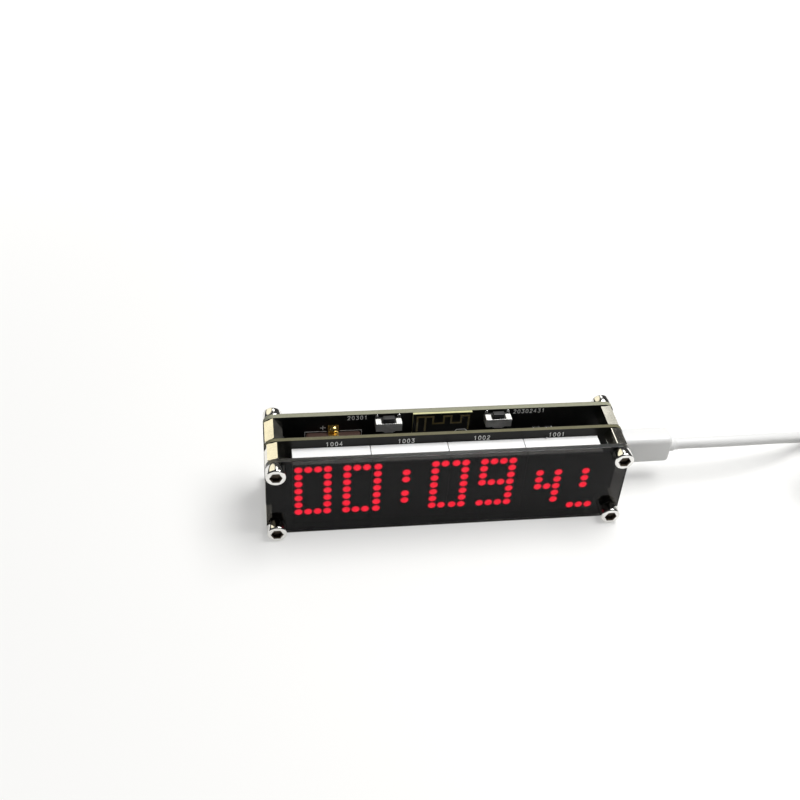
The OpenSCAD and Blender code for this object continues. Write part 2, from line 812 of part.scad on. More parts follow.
// Places of the larger parts on the front of the main board
usb_chip_at = [right_x(0.46), middle_z - 4.5];
clock_chip_at = [reset_x + 0.4, middle_z - 1.5];
regulator_at = [right_x(0.777), middle_z - 5];
crystal_at = [right_x(0.345), middle_z + 3];

module usb_chip() {
    color([0.13, 0.13, 0.13]) on_main_front(usb_chip_at[0], usb_chip_at[1]) chip_body(USB_CHIP);
}

module clock_chip() {
    color([0.13, 0.13, 0.13]) on_main_front(clock_chip_at[0], clock_chip_at[1])
        rotate(90) chip_body(CLOCK_CHIP);
}

module voltage_regulator() {
    color([0.13, 0.13, 0.13]) on_main_front(regulator_at[0], regulator_at[1]) chip_body(REGULATOR);
}

// Leads of the USB chip, the clock chip and the regulator, with the regulator's wide tab
module chip_leads() {
    color("silver") {
        on_main_front(usb_chip_at[0], usb_chip_at[1]) gull_leads(USB_CHIP, 8, lead_pitch);
        on_main_front(clock_chip_at[0], clock_chip_at[1]) rotate(90) gull_leads(CLOCK_CHIP, 8, lead_pitch);
        on_main_front(regulator_at[0], regulator_at[1]) {
            gull_leads(REGULATOR, 3, 2.3, 0.7, [1]);
            gull_leads(REGULATOR, 1, 0, 3, [0]);
        }
    }
}

module crystal() {
    color("silver") on_main_front(crystal_at[0], crystal_at[1])
        linear_extrude(CRYSTAL[2]) rounded(CRYSTAL[0], CRYSTAL[1], CRYSTAL[3]);
}

// Small parts on the main board: X of each, and Z from the board's middle
beside_header = header_x + 2.5;
beside_radio = radio_w / 2 + 4.5;
MAIN_CAPACITORS = [
    [beside_radio, -7], [beside_radio, -4], [beside_radio, -1], [beside_radio, 2],
    [right_x(0.547), 2.5], [beside_header, 3.5], [beside_header, 0]
];
MAIN_RESISTORS = [
    [beside_radio, 5], [right_x(0.633), 5.5], [right_x(0.532), 5.5],
    [beside_header, -3.5], [beside_header, -7]
];
POWER_CAPACITORS = [[right_x(0.662), 2.5], [right_x(0.863), 2.5]];
// Below each driver on the LED board, a capacitor on its right and a resistor on its left
driver_part_z = middle_z - pin_rows / 2 - 2.2;
driver_part_x = 3;

// A small part on its board, given as its length along X, its width and its height
module chip_part(size) {
    translate([-size[0] / 2, -size[1] / 2, 0]) cube(size);
}

module capacitors() {
    color([0.7, 0.6, 0.45]) {
        for (p = MAIN_CAPACITORS) on_main_front(p[0], middle_z + p[1]) chip_part(CAPACITOR);
        for (i = [0 : MODULES - 1])
            on_led_back(module_x(i) + driver_part_x, driver_part_z) chip_part(CAPACITOR);
    }
    color([0.85, 0.6, 0.2])
        for (p = POWER_CAPACITORS) on_main_front(p[0], middle_z + p[1]) chip_part(POWER_CAPACITOR);
}

module resistors() {
    color([0.15, 0.15, 0.15]) {
        for (p = MAIN_RESISTORS) on_main_front(p[0], middle_z + p[1]) chip_part(RESISTOR);
        for (i = [0 : MODULES - 1])
            on_led_back(module_x(i) - driver_part_x, driver_part_z) chip_part(RESISTOR);
    }
}

// Pins through the main board, their base on its front, and the socket on the LED board
module header_pins() {
    color("gold") for (p = header_places())
        box([p[0] - header_pin_w / 2, main_front - header_base_h - header_reach, p[1] - header_pin_w / 2],
            [p[0] + header_pin_w / 2, main_back + 1.2, p[1] + header_pin_w / 2]);
}

module header_base() {
    color([0.1, 0.1, 0.1]) upright(main_front - header_base_h, header_base_h) difference() {
        translate([header_x, middle_z]) square([header_pitch, HEADER_PINS * header_pitch], center = true);
        for (p = header_places()) translate(p) square(header_pin_w, center = true);
    }
}

module header_socket() {
    color([0.1, 0.1, 0.1]) upright(led_back, header_socket_h) difference() {
        translate([header_x, middle_z]) square([header_pitch, HEADER_PINS * header_pitch], center = true);
        for (p = header_places()) translate(p) square(header_pin_w + 2 * fit, center = true);
    }
}

led_housing(0);  // led_housing_1
led_housing(1);  // led_housing_2
led_housing(2);  // led_housing_3
led_housing(3);  // led_housing_4
led_faces();
led_dots_lit();
led_dots_dark();
led_base_boards();
led_pins();
led_board();
main_board();
front_standoffs();
rear_standoffs();
front_screws();
rear_screws();
switch_housing(reset_x);  // reset_housing
switch_cover(reset_x);  // reset_cover
switch_terminals(reset_x);  // reset_terminals
switch_dome(reset_x);  // reset_dome
switch_button(reset_x);  // reset_button
switch_housing(mode_x);  // mode_housing
switch_cover(mode_x);  // mode_cover
switch_terminals(mode_x);  // mode_terminals
switch_dome(mode_x);  // mode_dome
switch_button(mode_x);  // mode_button
radio_board();
radio_antenna();
radio_shield();
radio_chips();
cell_holder();
cell_clip();
coin_cell();
usb_socket_shell();
usb_socket_tongue();
header_pins();
header_base();
header_socket();
driver_chips();
driver_leads();
usb_chip();
clock_chip();
voltage_regulator();
crystal();
chip_leads();
capacitors();
resistors();
usb_plug_shell();
usb_plug_body();
usb_plug_relief();
cable_run();
cable_coil();
cable_tail();
cable_tie();
usb_a_relief();
usb_a_body();
usb_a_shell();
usb_a_tongue();
front_panel();
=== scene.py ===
import json
import math

import bmesh
import bpy
import numpy as np
from mathutils import Matrix, Vector


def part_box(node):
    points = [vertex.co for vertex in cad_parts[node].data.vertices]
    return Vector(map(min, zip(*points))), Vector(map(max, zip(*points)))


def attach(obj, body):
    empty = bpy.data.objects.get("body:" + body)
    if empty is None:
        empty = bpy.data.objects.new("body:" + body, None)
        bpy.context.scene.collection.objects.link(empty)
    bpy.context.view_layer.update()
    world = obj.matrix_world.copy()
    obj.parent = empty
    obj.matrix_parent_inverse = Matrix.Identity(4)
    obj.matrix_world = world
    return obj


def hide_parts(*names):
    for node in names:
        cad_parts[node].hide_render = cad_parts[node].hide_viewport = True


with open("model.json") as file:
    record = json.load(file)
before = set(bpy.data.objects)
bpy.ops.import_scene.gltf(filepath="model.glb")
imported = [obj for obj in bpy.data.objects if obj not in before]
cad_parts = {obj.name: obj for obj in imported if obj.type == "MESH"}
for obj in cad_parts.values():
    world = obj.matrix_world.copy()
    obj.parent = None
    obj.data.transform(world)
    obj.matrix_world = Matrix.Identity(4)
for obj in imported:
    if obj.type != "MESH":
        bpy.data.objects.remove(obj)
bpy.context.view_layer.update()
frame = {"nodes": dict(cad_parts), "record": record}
NODES = frame["nodes"]
MM = 0.001


def span(node):
    """Lowest and highest corner of a CAD node in mm."""
    low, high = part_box(node)
    return np.array(low) / MM, np.array(high) / MM


# The planes of the stack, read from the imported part
PANEL = span("front_panel")
LED_BOARD = span("led_board")
MAIN_BOARD = span("main_board")
RADIO = span("radio_board")
MODULES = [span(f"led_housing_{k}") for k in (1, 2, 3, 4)]
BOARD_L = MAIN_BOARD[1][0] - MAIN_BOARD[0][0]
BOARD_H = MAIN_BOARD[1][2] - MAIN_BOARD[0][2]
MIDDLE_Z = BOARD_H / 2
HOLE_MARGIN = 2.6
HOLE_X = BOARD_L / 2 - HOLE_MARGIN
HOLE_Z = BOARD_H / 2 - HOLE_MARGIN
CORNERS = [[(side * HOLE_X, MIDDLE_Z + level * HOLE_Z) for level in (-1, 1)] for side in (-1, 1)]


# Camera, fitted to the lit dots as the panel bends their light, and to the edges of the boards
CAMERA_AT = (-49.51, -206.93, 209.96)
CAMERA_RIGHT = (0.99032, -0.12679, 0.05643)
CAMERA_UP = (0.03785, 0.63793, 0.76916)
CAMERA_FORWARD = (0.13352, 0.75958, -0.63656)
CAMERA_LENS = 48.33

camera = bpy.data.objects.new("camera", bpy.data.cameras.new("camera"))
bpy.context.scene.collection.objects.link(camera)
bpy.context.scene.camera = camera
camera.data.lens = CAMERA_LENS
camera.data.sensor_width = 36
camera.data.clip_start = 0.005
camera.data.clip_end = 20
turned = Matrix((CAMERA_RIGHT, CAMERA_UP, tuple(-c for c in CAMERA_FORWARD))).transposed()
camera.matrix_world = Matrix.Translation([c * MM for c in CAMERA_AT]) @ turned.to_4x4()


# Shader helpers

def feed(tree, node, inputs):
    """Fills a node's inputs. Each value is a number, a colour or a socket to link."""
    for key, value in inputs.items():
        if isinstance(value, bpy.types.NodeSocket):
            tree.links.new(value, node.inputs[key])
        else:
            node.inputs[key].default_value = value


def add_node(tree, kind, inputs=None, **settings):
    """Adds a shader node with its settings and its inputs."""
    made = tree.nodes.new("ShaderNode" + kind)
    for key, value in settings.items():
        setattr(made, key, value)
    feed(tree, made, inputs or {})
    return made


def sums(tree, operation, *values, clamp=False):
    """One step of arithmetic in a shader, such as MULTIPLY, as a socket."""
    inputs = dict(enumerate(values))
    return add_node(tree, "Math", inputs, operation=operation, use_clamp=clamp).outputs[0]


def mixed(tree, share, first, second):
    """The colour between first and second, at share from 0 to 1."""
    factor, colour_a, colour_b, result = 0, 6, 7, 2
    inputs = {factor: share, colour_a: first, colour_b: second}
    return add_node(tree, "Mix", inputs, data_type="RGBA").outputs[result]


def ranged(tree, value, low, high, to_low=0.0, to_high=1.0):
    """Maps a value from low..high to to_low..to_high, smoothly and held at the ends."""
    inputs = {"Value": value, "From Min": low, "From Max": high, "To Min": to_low, "To Max": to_high}
    return add_node(tree, "MapRange", inputs, interpolation_type="SMOOTHSTEP").outputs[0]


def noise(tree, position, scale, detail=3.0, rough=0.5):
    """Noise from 0 to 1, with scale in cycles per metre."""
    inputs = {"Vector": position, "Scale": scale, "Detail": detail, "Roughness": rough}
    return add_node(tree, "TexNoise", inputs).outputs[0]


def shaded(tree, colour, shade, share=1.0):
    """A colour times a shade that changes over the surface, by a share of 0 to 1."""
    inputs = {"Fac": share, "Color1": colour, "Color2": shade}
    return add_node(tree, "MixRGB", inputs, blend_type="MULTIPLY").outputs[0]


def component(tree, vector, axis):
    """The x, y or z of a vector in a shader."""
    return add_node(tree, "SeparateXYZ", {0: vector}).outputs["XYZ".index(axis)]


def facing(tree, axis):
    """How far the surface looks along an axis, from -1 to 1."""
    return component(tree, add_node(tree, "NewGeometry").outputs["Normal"], axis)


def absolute(tree, value):
    """A value without its sign."""
    return sums(tree, "ABSOLUTE", value)


def new_group(name, inputs, outputs):
    """An empty shader group. inputs and outputs map names to a kind: value, colour or vector."""
    kinds = {"value": "NodeSocketFloat", "colour": "NodeSocketColor", "vector": "NodeSocketVector"}
    tree = bpy.data.node_groups.new(name, "ShaderNodeTree")
    for in_out, sockets in (("INPUT", inputs), ("OUTPUT", outputs)):
        for key, kind in sockets.items():
            tree.interface.new_socket(name=key, in_out=in_out, socket_type=kinds[kind])
    return tree, tree.nodes.new("NodeGroupInput"), tree.nodes.new("NodeGroupOutput")


def grain_group():
    """Fine grain of a moulded or cast surface: a shade around 1 and a height for bump."""
    tree, given, put = new_group(
        "Moulded grain", {"Position": "vector", "Grain": "value", "Strength": "value"},
        {"Shade": "value", "Height": "value"})
    fine = noise(tree, given.outputs["Position"], given.outputs["Grain"], 4.0)
    broad = noise(tree, given.outputs["Position"], 160.0, 2.0)
    both = sums(tree, "MULTIPLY_ADD", fine, 0.6, sums(tree, "MULTIPLY", broad, 0.4))
    away = sums(tree, "MULTIPLY", sums(tree, "SUBTRACT", both, 0.5), given.outputs["Strength"])
    feed(tree, put, {"Shade": sums(tree, "ADD", away, 1.0), "Height": fine})
    return tree


def handling_group():
    """Marks of handling: roughness that wanders between a clean and a handled value."""
    tree, given, put = new_group(
        "Handling marks", {"Position": "vector", "Size": "value", "Clean": "value", "Handled": "value"},
        {"Roughness": "value"})
    patch = ranged(tree, noise(tree, given.outputs["Position"], given.outputs["Size"], 5.0, 0.6), 0.35, 0.7)
    step = sums(tree, "SUBTRACT", given.outputs["Handled"], given.outputs["Clean"])
    feed(tree, put, {"Roughness": sums(tree, "MULTIPLY_ADD", patch, step, given.outputs["Clean"])})
    return tree


def dust_group():
    """Pale dust that settles in specks on faces that look up."""
    dust_colour = (0.6, 0.58, 0.54, 1)
    tree, given, put = new_group(
        "Settled dust", {"Position": "vector", "Colour": "colour", "Amount": "value"}, {"Colour": "colour"})
    specks = ranged(tree, noise(tree, given.outputs["Position"], 5200.0, 2.0), 0.6, 0.72)
    veil = noise(tree, given.outputs["Position"], 300.0, 3.0)
    settled = sums(tree, "MULTIPLY_ADD", veil, 0.35, sums(tree, "MULTIPLY", specks, 0.65))
    lying = sums(tree, "MULTIPLY", settled, ranged(tree, facing(tree, "Z"), 0.2, 0.9))
    mask = sums(tree, "MULTIPLY", lying, given.outputs["Amount"], clamp=True)
    feed(tree, put, {"Colour": mixed(tree, mask, given.outputs["Colour"], dust_colour)})
    return tree


def streaks_group():
    """Rolling marks of sheet metal: noise drawn out along X, and a coarse patchiness."""
    tree, given, put = new_group(
        "Rolling marks", {"Position": "vector", "Streak": "value"}, {"Shade": "value", "Height": "value"})
    drawn = add_node(tree, "Mapping", {"Vector": given.outputs["Position"], "Scale": (0.06, 1, 1)})
    fine = noise(tree, drawn.outputs[0], given.outputs["Streak"], 3.0)
    patch = noise(tree, given.outputs["Position"], 420.0, 3.0)
    both = sums(tree, "MULTIPLY_ADD", fine, 0.55, sums(tree, "MULTIPLY", patch, 0.45))
    feed(tree, put, {"Shade": ranged(tree, both, 0.25, 0.75, 0.82, 1.06), "Height": fine})
    return tree


def laminate_group():
    """A circuit board's skin: dark solder mask on both faces and sawn glass laminate between them.
    The cut edge is found by depth alone, as the distance inwards from the front and back planes."""
    tree, given, put = new_group(
        "Board skin",
        {"Position": "vector", "Front": "value", "Back": "value", "Mask": "colour", "Glass": "colour"},
        {"Colour": "colour", "Edge": "value", "Height": "value"})
    mask_thickness = (0.04 * MM, 0.09 * MM)
    y = component(tree, given.outputs["Position"], "Y")
    depth_front = sums(tree, "SUBTRACT", y, given.outputs["Front"])
    depth_back = sums(tree, "SUBTRACT", given.outputs["Back"], y)
    edge = ranged(tree, sums(tree, "MINIMUM", depth_front, depth_back), *mask_thickness)
    plies = add_node(tree, "TexWave", {
        "Vector": given.outputs["Position"], "Scale": 1500.0, "Distortion": 1.2, "Detail": 2.0,
        "Detail Scale": 0.4}, wave_type="BANDS", bands_direction="Y").outputs["Fac"]
    fibre = noise(tree, given.outputs["Position"], 2600.0, 4.0, 0.7)
    tone = sums(tree, "MULTIPLY_ADD", fibre, 0.7, sums(tree, "MULTIPLY", plies, 0.3))
    laminate = shaded(tree, given.outputs["Glass"], ranged(tree, tone, 0.1, 0.9, 0.62, 1.25))
    patch = noise(tree, given.outputs["Position"], 900.0, 3.0)
    dull = shaded(tree, given.outputs["Mask"], sums(tree, "MULTIPLY_ADD", patch, 1.2, 0.4), 0.5)
    height = sums(tree, "MULTIPLY_ADD", fibre, edge, sums(tree, "MULTIPLY", patch, 0.3))
    feed(tree, put, {"Colour": mixed(tree, edge, dull, laminate), "Edge": edge, "Height": height})
    return tree


def weave_group():
    """Woven loops of the strap: two crossed waves, as a shade and a height."""
    tree, given, put = new_group(
        "Strap weave", {"Position": "vector", "Pitch": "value"}, {"Shade": "value", "Height": "value"})
    loops = {"Vector": given.outputs["Position"], "Scale": given.outputs["Pitch"], "Distortion": 2.5,
             "Detail": 2.0, "Detail Scale": 1.5}
    waves = [add_node(tree, "TexWave", loops, wave_type="BANDS", bands_direction=way).outputs["Fac"]
             for way in ("X", "DIAGONAL")]
    both = sums(tree, "MULTIPLY", *waves)
    fuzz = noise(tree, given.outputs["Position"], 9000.0, 3.0)
    shade = sums(tree, "MULTIPLY_ADD", both, 0.7, sums(tree, "MULTIPLY", fuzz, 0.6))
    feed(tree, put, {"Shade": shade, "Height": sums(tree, "ADD", both, fuzz)})
    return tree


GRAIN = grain_group()
HANDLING = handling_group()
DUST = dust_group()
STREAKS = streaks_group()
LAMINATE = laminate_group()
WEAVE = weave_group()


def use_group(tree, group, **inputs):
    """Places a shared group in a material with its own values."""
    return add_node(tree, "Group", inputs, node_tree=group).outputs


def new_material(name):
    """A material with an empty tree, its Principled shader and its Object coordinates."""
    made = bpy.data.materials.new(name)
    made.use_nodes = True
    tree = made.node_tree
    shader = tree.nodes["Principled BSDF"]
    place = tree.nodes.new("ShaderNodeTexCoord").outputs["Object"]
    return made, tree, shader, place


def set_bump(tree, shader, height, depth):
    """Bumps the surface by height times depth, which is in metres."""
    bump = add_node(tree, "Bump", {"Height": height, "Distance": depth, "Strength": 1.0})
    feed(tree, shader, {"Normal": bump.outputs[0]})


def plastic(name, colour, clean, handled, grain=6000.0, strength=0.12, depth=4e-6, dust=0.0,
            subsurface=0.0):
    """Moulded plastic, resin or ceramic: grain, handling marks and dust. Light that enters it travels
    under a millimetre where it has subsurface."""
    made, tree, shader, place = new_material(name)
    grains = use_group(tree, GRAIN, Position=place, Grain=grain, Strength=strength)
    skin = shaded(tree, (*colour, 1), grains["Shade"])
    if dust:
        skin = use_group(tree, DUST, Position=place, Colour=skin, Amount=dust)["Colour"]
    rough = use_group(tree, HANDLING, Position=place, Size=350.0, Clean=clean, Handled=handled)
    feed(tree, shader, {"Base Color": skin, "Roughness": rough["Roughness"]})
    set_bump(tree, shader, grains["Height"], depth)
    if subsurface:
        feed(tree, shader, {"Subsurface Weight": subsurface, "Subsurface Radius": (0.6, 0.55, 0.5),
                            "Subsurface Scale": 0.8 * MM})
    return made


def metal(name, colour, clean, handled, streak=9000.0, depth=1.5e-6, upright=0.0):
    """Plated or rolled metal: drawn-out marks and patches that are a little duller. Faces that look
    sideways are rougher by upright, as on sheet whose flat top alone is pressed bright."""
    made, tree, shader, place = new_material(name)
    marks = use_group(tree, STREAKS, Position=place, Streak=streak)
    rough = use_group(tree, HANDLING, Position=place, Size=700.0, Clean=clean, Handled=handled)["Roughness"]
    metallic = 1.0
    if upright:
        dull = ranged(tree, facing(tree, "Z"), 0.8, 0.3)
        rough = sums(tree, "MULTIPLY_ADD", dull, upright, rough)
        metallic = ranged(tree, dull, 0, 1, 1.0, 0.9)
    feed(tree, shader, {"Base Color": shaded(tree, (*colour, 1), marks["Shade"]), "Roughness": rough,
                        "Metallic": metallic})
    set_bump(tree, shader, marks["Height"], depth)
    return made


def board_skin(name, planes, mask, glass):
    """Masked circuit board with laminate edges, for a board between two planes in Y."""
    mask_rough, edge_rough = 0.34, 0.75
    made, tree, shader, place = new_material(name)
    skin = use_group(tree, LAMINATE, Position=place, Front=planes[0][1] * MM, Back=planes[1][1] * MM,
                     Mask=(*mask, 1), Glass=(*glass, 1))
    dusted = use_group(tree, DUST, Position=place, Colour=skin["Colour"], Amount=0.12)
    feed(tree, shader, {"Base Color": dusted["Colour"], "Specular IOR Level": 0.2,
                        "Roughness": ranged(tree, skin["Edge"], 0, 1, mask_rough, edge_rough)})
    set_bump(tree, shader, skin["Height"], 6e-6)
    return made


def smoked_acrylic():
    """Clear acrylic dyed nearly black: polished faces with faint wiping marks, and cut edges that are
    paler, frosted and glossy on top."""
    face_dye = (0.049, 0.047, 0.045, 1)
    edge_dye = (0.85, 0.83, 0.78, 1)
    frosting = 0.3
    made, tree, shader, place = new_material("smoked acrylic")
    wipe = add_node(tree, "Mapping", {"Vector": place, "Scale": (0.15, 1, 1), "Rotation": (0, 0.5, 0)})
    marks = use_group(tree, HANDLING, Position=wipe.outputs[0], Size=900.0, Clean=0.0, Handled=0.035)
    tint = use_group(tree, GRAIN, Position=place, Grain=1500.0, Strength=0.06)
    cut = ranged(tree, absolute(tree, facing(tree, "Y")), 0.75, 0.3)
    dye = shaded(tree, mixed(tree, cut, face_dye, edge_dye), tint["Shade"])
    frost = sums(tree, "MULTIPLY_ADD", cut, frosting, marks["Roughness"])
    feed(tree, shader, {"Base Color": dye, "Roughness": frost, "Coat Weight": cut,
                        "Coat Roughness": frosting, "Transmission Weight": 1.0,
                        "Specular Tint": (0.6, 0.6, 0.61, 1), "IOR": 1.3})
    return made


def lit_resin():
    """A dot's resin with the diode lit behind it: brightest in the middle, deeper red at the rim, and a
    faint painted red glow on the black face round it, which paints the spill of the dot's light. Seen in
    other pieces, it glows less than straight on.
    Its UV map holds each point's distance from the dot's middle over the dot's radius as U."""
    deep_red = (0.84, 0.007, 0.03, 1)
    bright_red = (1.0, 0.018, 0.05, 1)
    rim_red = (0.62, 0.005, 0.028, 1)
    # Painted glow: a faint red emission on the black face round each dot, standing for the spill of its light
    painted_glow_red = (0.012, 0, 0.0005, 1)
    resin = (0.4, 0.02, 0.03, 1)
    black_face = (0.028, 0.02, 0.02, 1)
    straight_rays = 2.5
    mirrored_loss = 0.85
    made, tree, shader, place = new_material("lit resin")
    rim = component(tree, add_node(tree, "UVMap", uv_map="dot").outputs[0], "X")
    cloud = noise(tree, place, 1100.0, 3.0)
    core = mixed(tree, ranged(tree, cloud, 0.3, 0.75), deep_red, bright_red)
    edge = mixed(tree, ranged(tree, rim, 0.7, 1.08), core, rim_red)
    # Past the dot's rim the resin gives way to the black face, with the painted red glow on it
    painted_glow = ranged(tree, rim, 1.0, 1.3)
    depth = tree.nodes.new("ShaderNodeLightPath").outputs["Ray Depth"]
    mirrored = sums(tree, "GREATER_THAN", depth, straight_rays)
    strength = sums(tree, "MULTIPLY_ADD", mirrored, -mirrored_loss * LIT_STRENGTH, LIT_STRENGTH)
    feed(tree, shader, {"Emission Color": mixed(tree, painted_glow, edge, painted_glow_red),
                        "Base Color": mixed(tree, painted_glow, resin, black_face),
                        "Emission Strength": strength, "Roughness": 0.4})
    return made


def woven_strap():
    """Black hook and loop strap."""
    made, tree, shader, place = new_material("woven strap")
    weave = use_group(tree, WEAVE, Position=place, Pitch=900.0)
    cloth = shaded(tree, (0.045, 0.045, 0.047, 1), weave["Shade"])
    feed(tree, shader, {"Base Color": cloth, "Roughness": 0.85, "Sheen Weight": 0.35})
    set_bump(tree, shader, weave["Height"], 8e-5)
    return made


LIT_STRENGTH = 22.0

# Colour, roughness of a clean and of a handled patch, and for some the grain's pitch, strength and depth
MATERIALS = {
    "smoked_acrylic": smoked_acrylic(),
    "module_white": plastic("white housing", (0.84, 0.84, 0.83), 0.28, 0.42, dust=0.05, subsurface=0.15),
    "module_face": plastic("black face print", (0.028, 0.025, 0.024), 0.5, 0.65),
    "dot_lit": lit_resin(),
    "dot_dark": plastic("unlit resin", (0.03, 0.025, 0.024), 0.3, 0.45),
    "module_board": plastic("green laminate", (0.03, 0.07, 0.025), 0.5, 0.65),
    "standoff_metal": metal("nickel plated brass", (0.86, 0.83, 0.74), 0.1, 0.2),
    "screw_steel": metal("bright plated steel", (0.88, 0.87, 0.84), 0.06, 0.14),
    "sheet_metal": metal("tinned sheet", (0.7, 0.7, 0.69), 0.19, 0.25, 7000.0, 5e-8, upright=0.33),
    "solder_tin": metal("solder and tin", (0.78, 0.78, 0.77), 0.16, 0.36, 3000.0, 6e-6),
    "gold_plate": metal("gold plate", (1.0, 0.74, 0.27), 0.26, 0.33),
    "masked_copper": plastic("masked copper", (0.12, 0.095, 0.04), 0.25, 0.35),
    "black_moulding": plastic("black nylon", (0.014, 0.014, 0.015), 0.38, 0.5, dust=0.06),
    "chip_epoxy": plastic("chip epoxy", (0.022, 0.022, 0.023), 0.55, 0.7, 12000.0, 0.3, 1e-5, dust=0.1),
    "holder_brown": plastic("brown nylon", (0.07, 0.035, 0.025), 0.42, 0.55, dust=0.06),
    "cell_steel": metal("nickelled can", (0.76, 0.76, 0.74), 0.18, 0.3),
    "capacitor_body": plastic("tan ceramic", (0.3, 0.2, 0.11), 0.4, 0.5, 9000.0),
    "lead_white": plastic("white overmould", (0.68, 0.68, 0.67), 0.32, 0.42, 5000.0, 0.05, 5e-6,
                          subsurface=0.2),
    "cable_white": plastic("white jacket", (0.66, 0.66, 0.65), 0.42, 0.52, 4200.0, 0.06, 8e-6),
    "contact_block": plastic("white insulator", (0.8, 0.8, 0.77), 0.35, 0.45),
    "tie_strap": woven_strap(),
}
BOARD_SKINS = {
    "led_board": board_skin("LED board skin", LED_BOARD, (0.0075, 0.0073, 0.006), (0.125, 0.117, 0.062)),
    "main_board": board_skin("main board skin", MAIN_BOARD, (0.004, 0.004, 0.0038), (0.255, 0.255, 0.18)),
    "radio_board": board_skin("radio board skin", RADIO, (0.004, 0.004, 0.0036), (0.58, 0.57, 0.3)),
}
PRINT = plastic("white board print", (0.72, 0.72, 0.69), 0.6, 0.75, 9000.0, 0.35, 6e-6)
# Dull dark steel for the screws' sockets, darkened further to paint the shade of the recess
SOCKET_STEEL_AND_SHADE = metal("socket of a screw", (0.13, 0.105, 0.08), 0.4, 0.55)
CERAMIC_BLACK = plastic("black resistor glaze", (0.02, 0.02, 0.022), 0.25, 0.35)

slot_of = {row["node"]: row["material_slot"] for row in frame["record"]["subparts"]}
for node_name, cad_object in NODES.items():
    finish = BOARD_SKINS.get(node_name) or MATERIALS[slot_of[node_name]]
    cad_object.data.materials.clear()
    cad_object.data.materials.append(finish)


# Mesh helpers: a part is an array of points in mm and a list of faces

# Points this near each other, in metres, are one: in new pieces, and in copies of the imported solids
WELD_NEW = 2e-7
WELD_SOLID = 2e-6


def grid_faces(rows, cols, wrap_rows=False, wrap_cols=False):
    """Quads between neighbouring rows and columns of a grid whose points run along its rows. A wrap
    joins the last row or column to the first."""
    row, col = np.meshgrid(np.arange(rows if wrap_rows else rows - 1),
                           np.arange(cols if wrap_cols else cols - 1), indexing="ij")
    next_row = (row + 1) % rows
    next_col = (col + 1) % cols
    quads = [row * cols + col, row * cols + next_col, next_row * cols + next_col, next_row * cols + col]
    return np.stack(quads, -1).reshape(-1, 4)


def join(parts):
    """One part from several."""
    starts = np.cumsum([0] + [len(part[0]) for part in parts])
    moved = [np.asarray(faces) + start for (points, faces), start in zip(parts, starts)]
    faces = [tuple(face) for part in moved for face in part.tolist()]
    return np.concatenate([part[0] for part in parts]), faces


def piece(name, parts, material, sharp=35):
    """One object from parts, with doubles merged and faces turned outwards."""
    points, faces = join(parts)
    mesh = bpy.data.meshes.new(name)
    mesh.from_pydata(points * MM, [], faces)
    work = welded(mesh, WELD_NEW)
    bmesh.ops.recalc_face_normals(work, faces=work.faces)
    work.to_mesh(mesh)
    work.free()
    return place_mesh(name, mesh, material, "root", sharp)


def welded(mesh, near):
    """A mesh opened for work, with its doubles merged."""
    work = bmesh.new()
    work.from_mesh(mesh)
    bmesh.ops.remove_doubles(work, verts=work.verts, dist=near)
    return work


def place_mesh(name, mesh, material, body, sharp):
    """Puts a finished mesh into the scene as a piece that rides on a body."""
    mesh.shade_smooth()
    mesh.set_sharp_from_angle(angle=math.radians(sharp))
    mesh.materials.clear()
    mesh.materials.append(material)
    made = bpy.data.objects.new(name, mesh)
    bpy.context.scene.collection.objects.link(made)
    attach(made, body)
    return made


def softened(name, node, width, body="root", segments=2, widen=0.0):
    """A merged copy of a CAD node whose sharp edges are rounded by width mm, in place of the node.
    widen adds that many mm to its size along X, about its middle."""
    flat, edge, smooth = 1, 30, 60
    mesh = NODES[node].data.copy()
    if widen:
        low, high = span(node)
        points = np.array([v.co for v in mesh.vertices])
        middle = (low[0] + high[0]) / 2 * MM
        points[:, 0] = middle + (points[:, 0] - middle) * (1 + widen / (high[0] - low[0]))
        mesh.vertices.foreach_set("co", points.ravel())
    work = welded(mesh, WELD_SOLID)
    bmesh.ops.dissolve_limit(work, angle_limit=math.radians(flat), verts=work.verts, edges=work.edges)
    work.to_mesh(mesh)
    work.free()
    slot = slot_of[node]
    made = place_mesh(name, mesh, MATERIALS[slot], body, smooth)
    rounding = made.modifiers.new("rounded edges", "BEVEL")
    rounding.width = width * MM
    rounding.segments = segments
    rounding.limit_method = "ANGLE"
    rounding.angle_limit = math.radians(edge)
    rounding.use_clamp_overlap = True
    rounding.harden_normals = True
    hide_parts(node)


def lathe(profile, at, axis, sides):
    """A profile of (radius, height) rows turned about a line from at along axis, such as "+y" or "-y".
    Point = at + height along the axis + radius times (cos, sin) across it."""
    profile = np.asarray(profile, float)
    angle = np.arange(sides) * 2 * np.pi / sides
    radius = np.broadcast_to(profile[:, :1], (len(profile), sides))
    return turned_grid(radius, profile[:, 1], angle, at, axis)


def turned_grid(radius, height, angle, at, axis, ring=False):
    """The grid of a turned surface, from a radius for each row and angle and a height for each row. In a
    ring the last row joins the first."""
    across = radius * np.cos(angle)
    up = radius * np.sin(angle)
    along = np.broadcast_to(np.asarray(height)[:, None], radius.shape) * (1 if axis[0] == "+" else -1)
    points = {"x": (along, across, up), "y": (across, along, up)}[axis[1]]
    points = np.stack(points, -1) + np.asarray(at, float)
    return points.reshape(-1, 3), grid_faces(*radius.shape, ring, True)


def hex_radius(angle, across_flats, turn):
    """Distance from a hexagon's middle to its side in each direction, with one corner at 90 degrees
    plus turn. It is half the width across the flats over the cosine of the angle from that flat."""
    from_flat = (angle - math.radians(turn) - np.pi / 2) % (np.pi / 3) - np.pi / 6
    return across_flats / 2 / np.cos(from_flat)


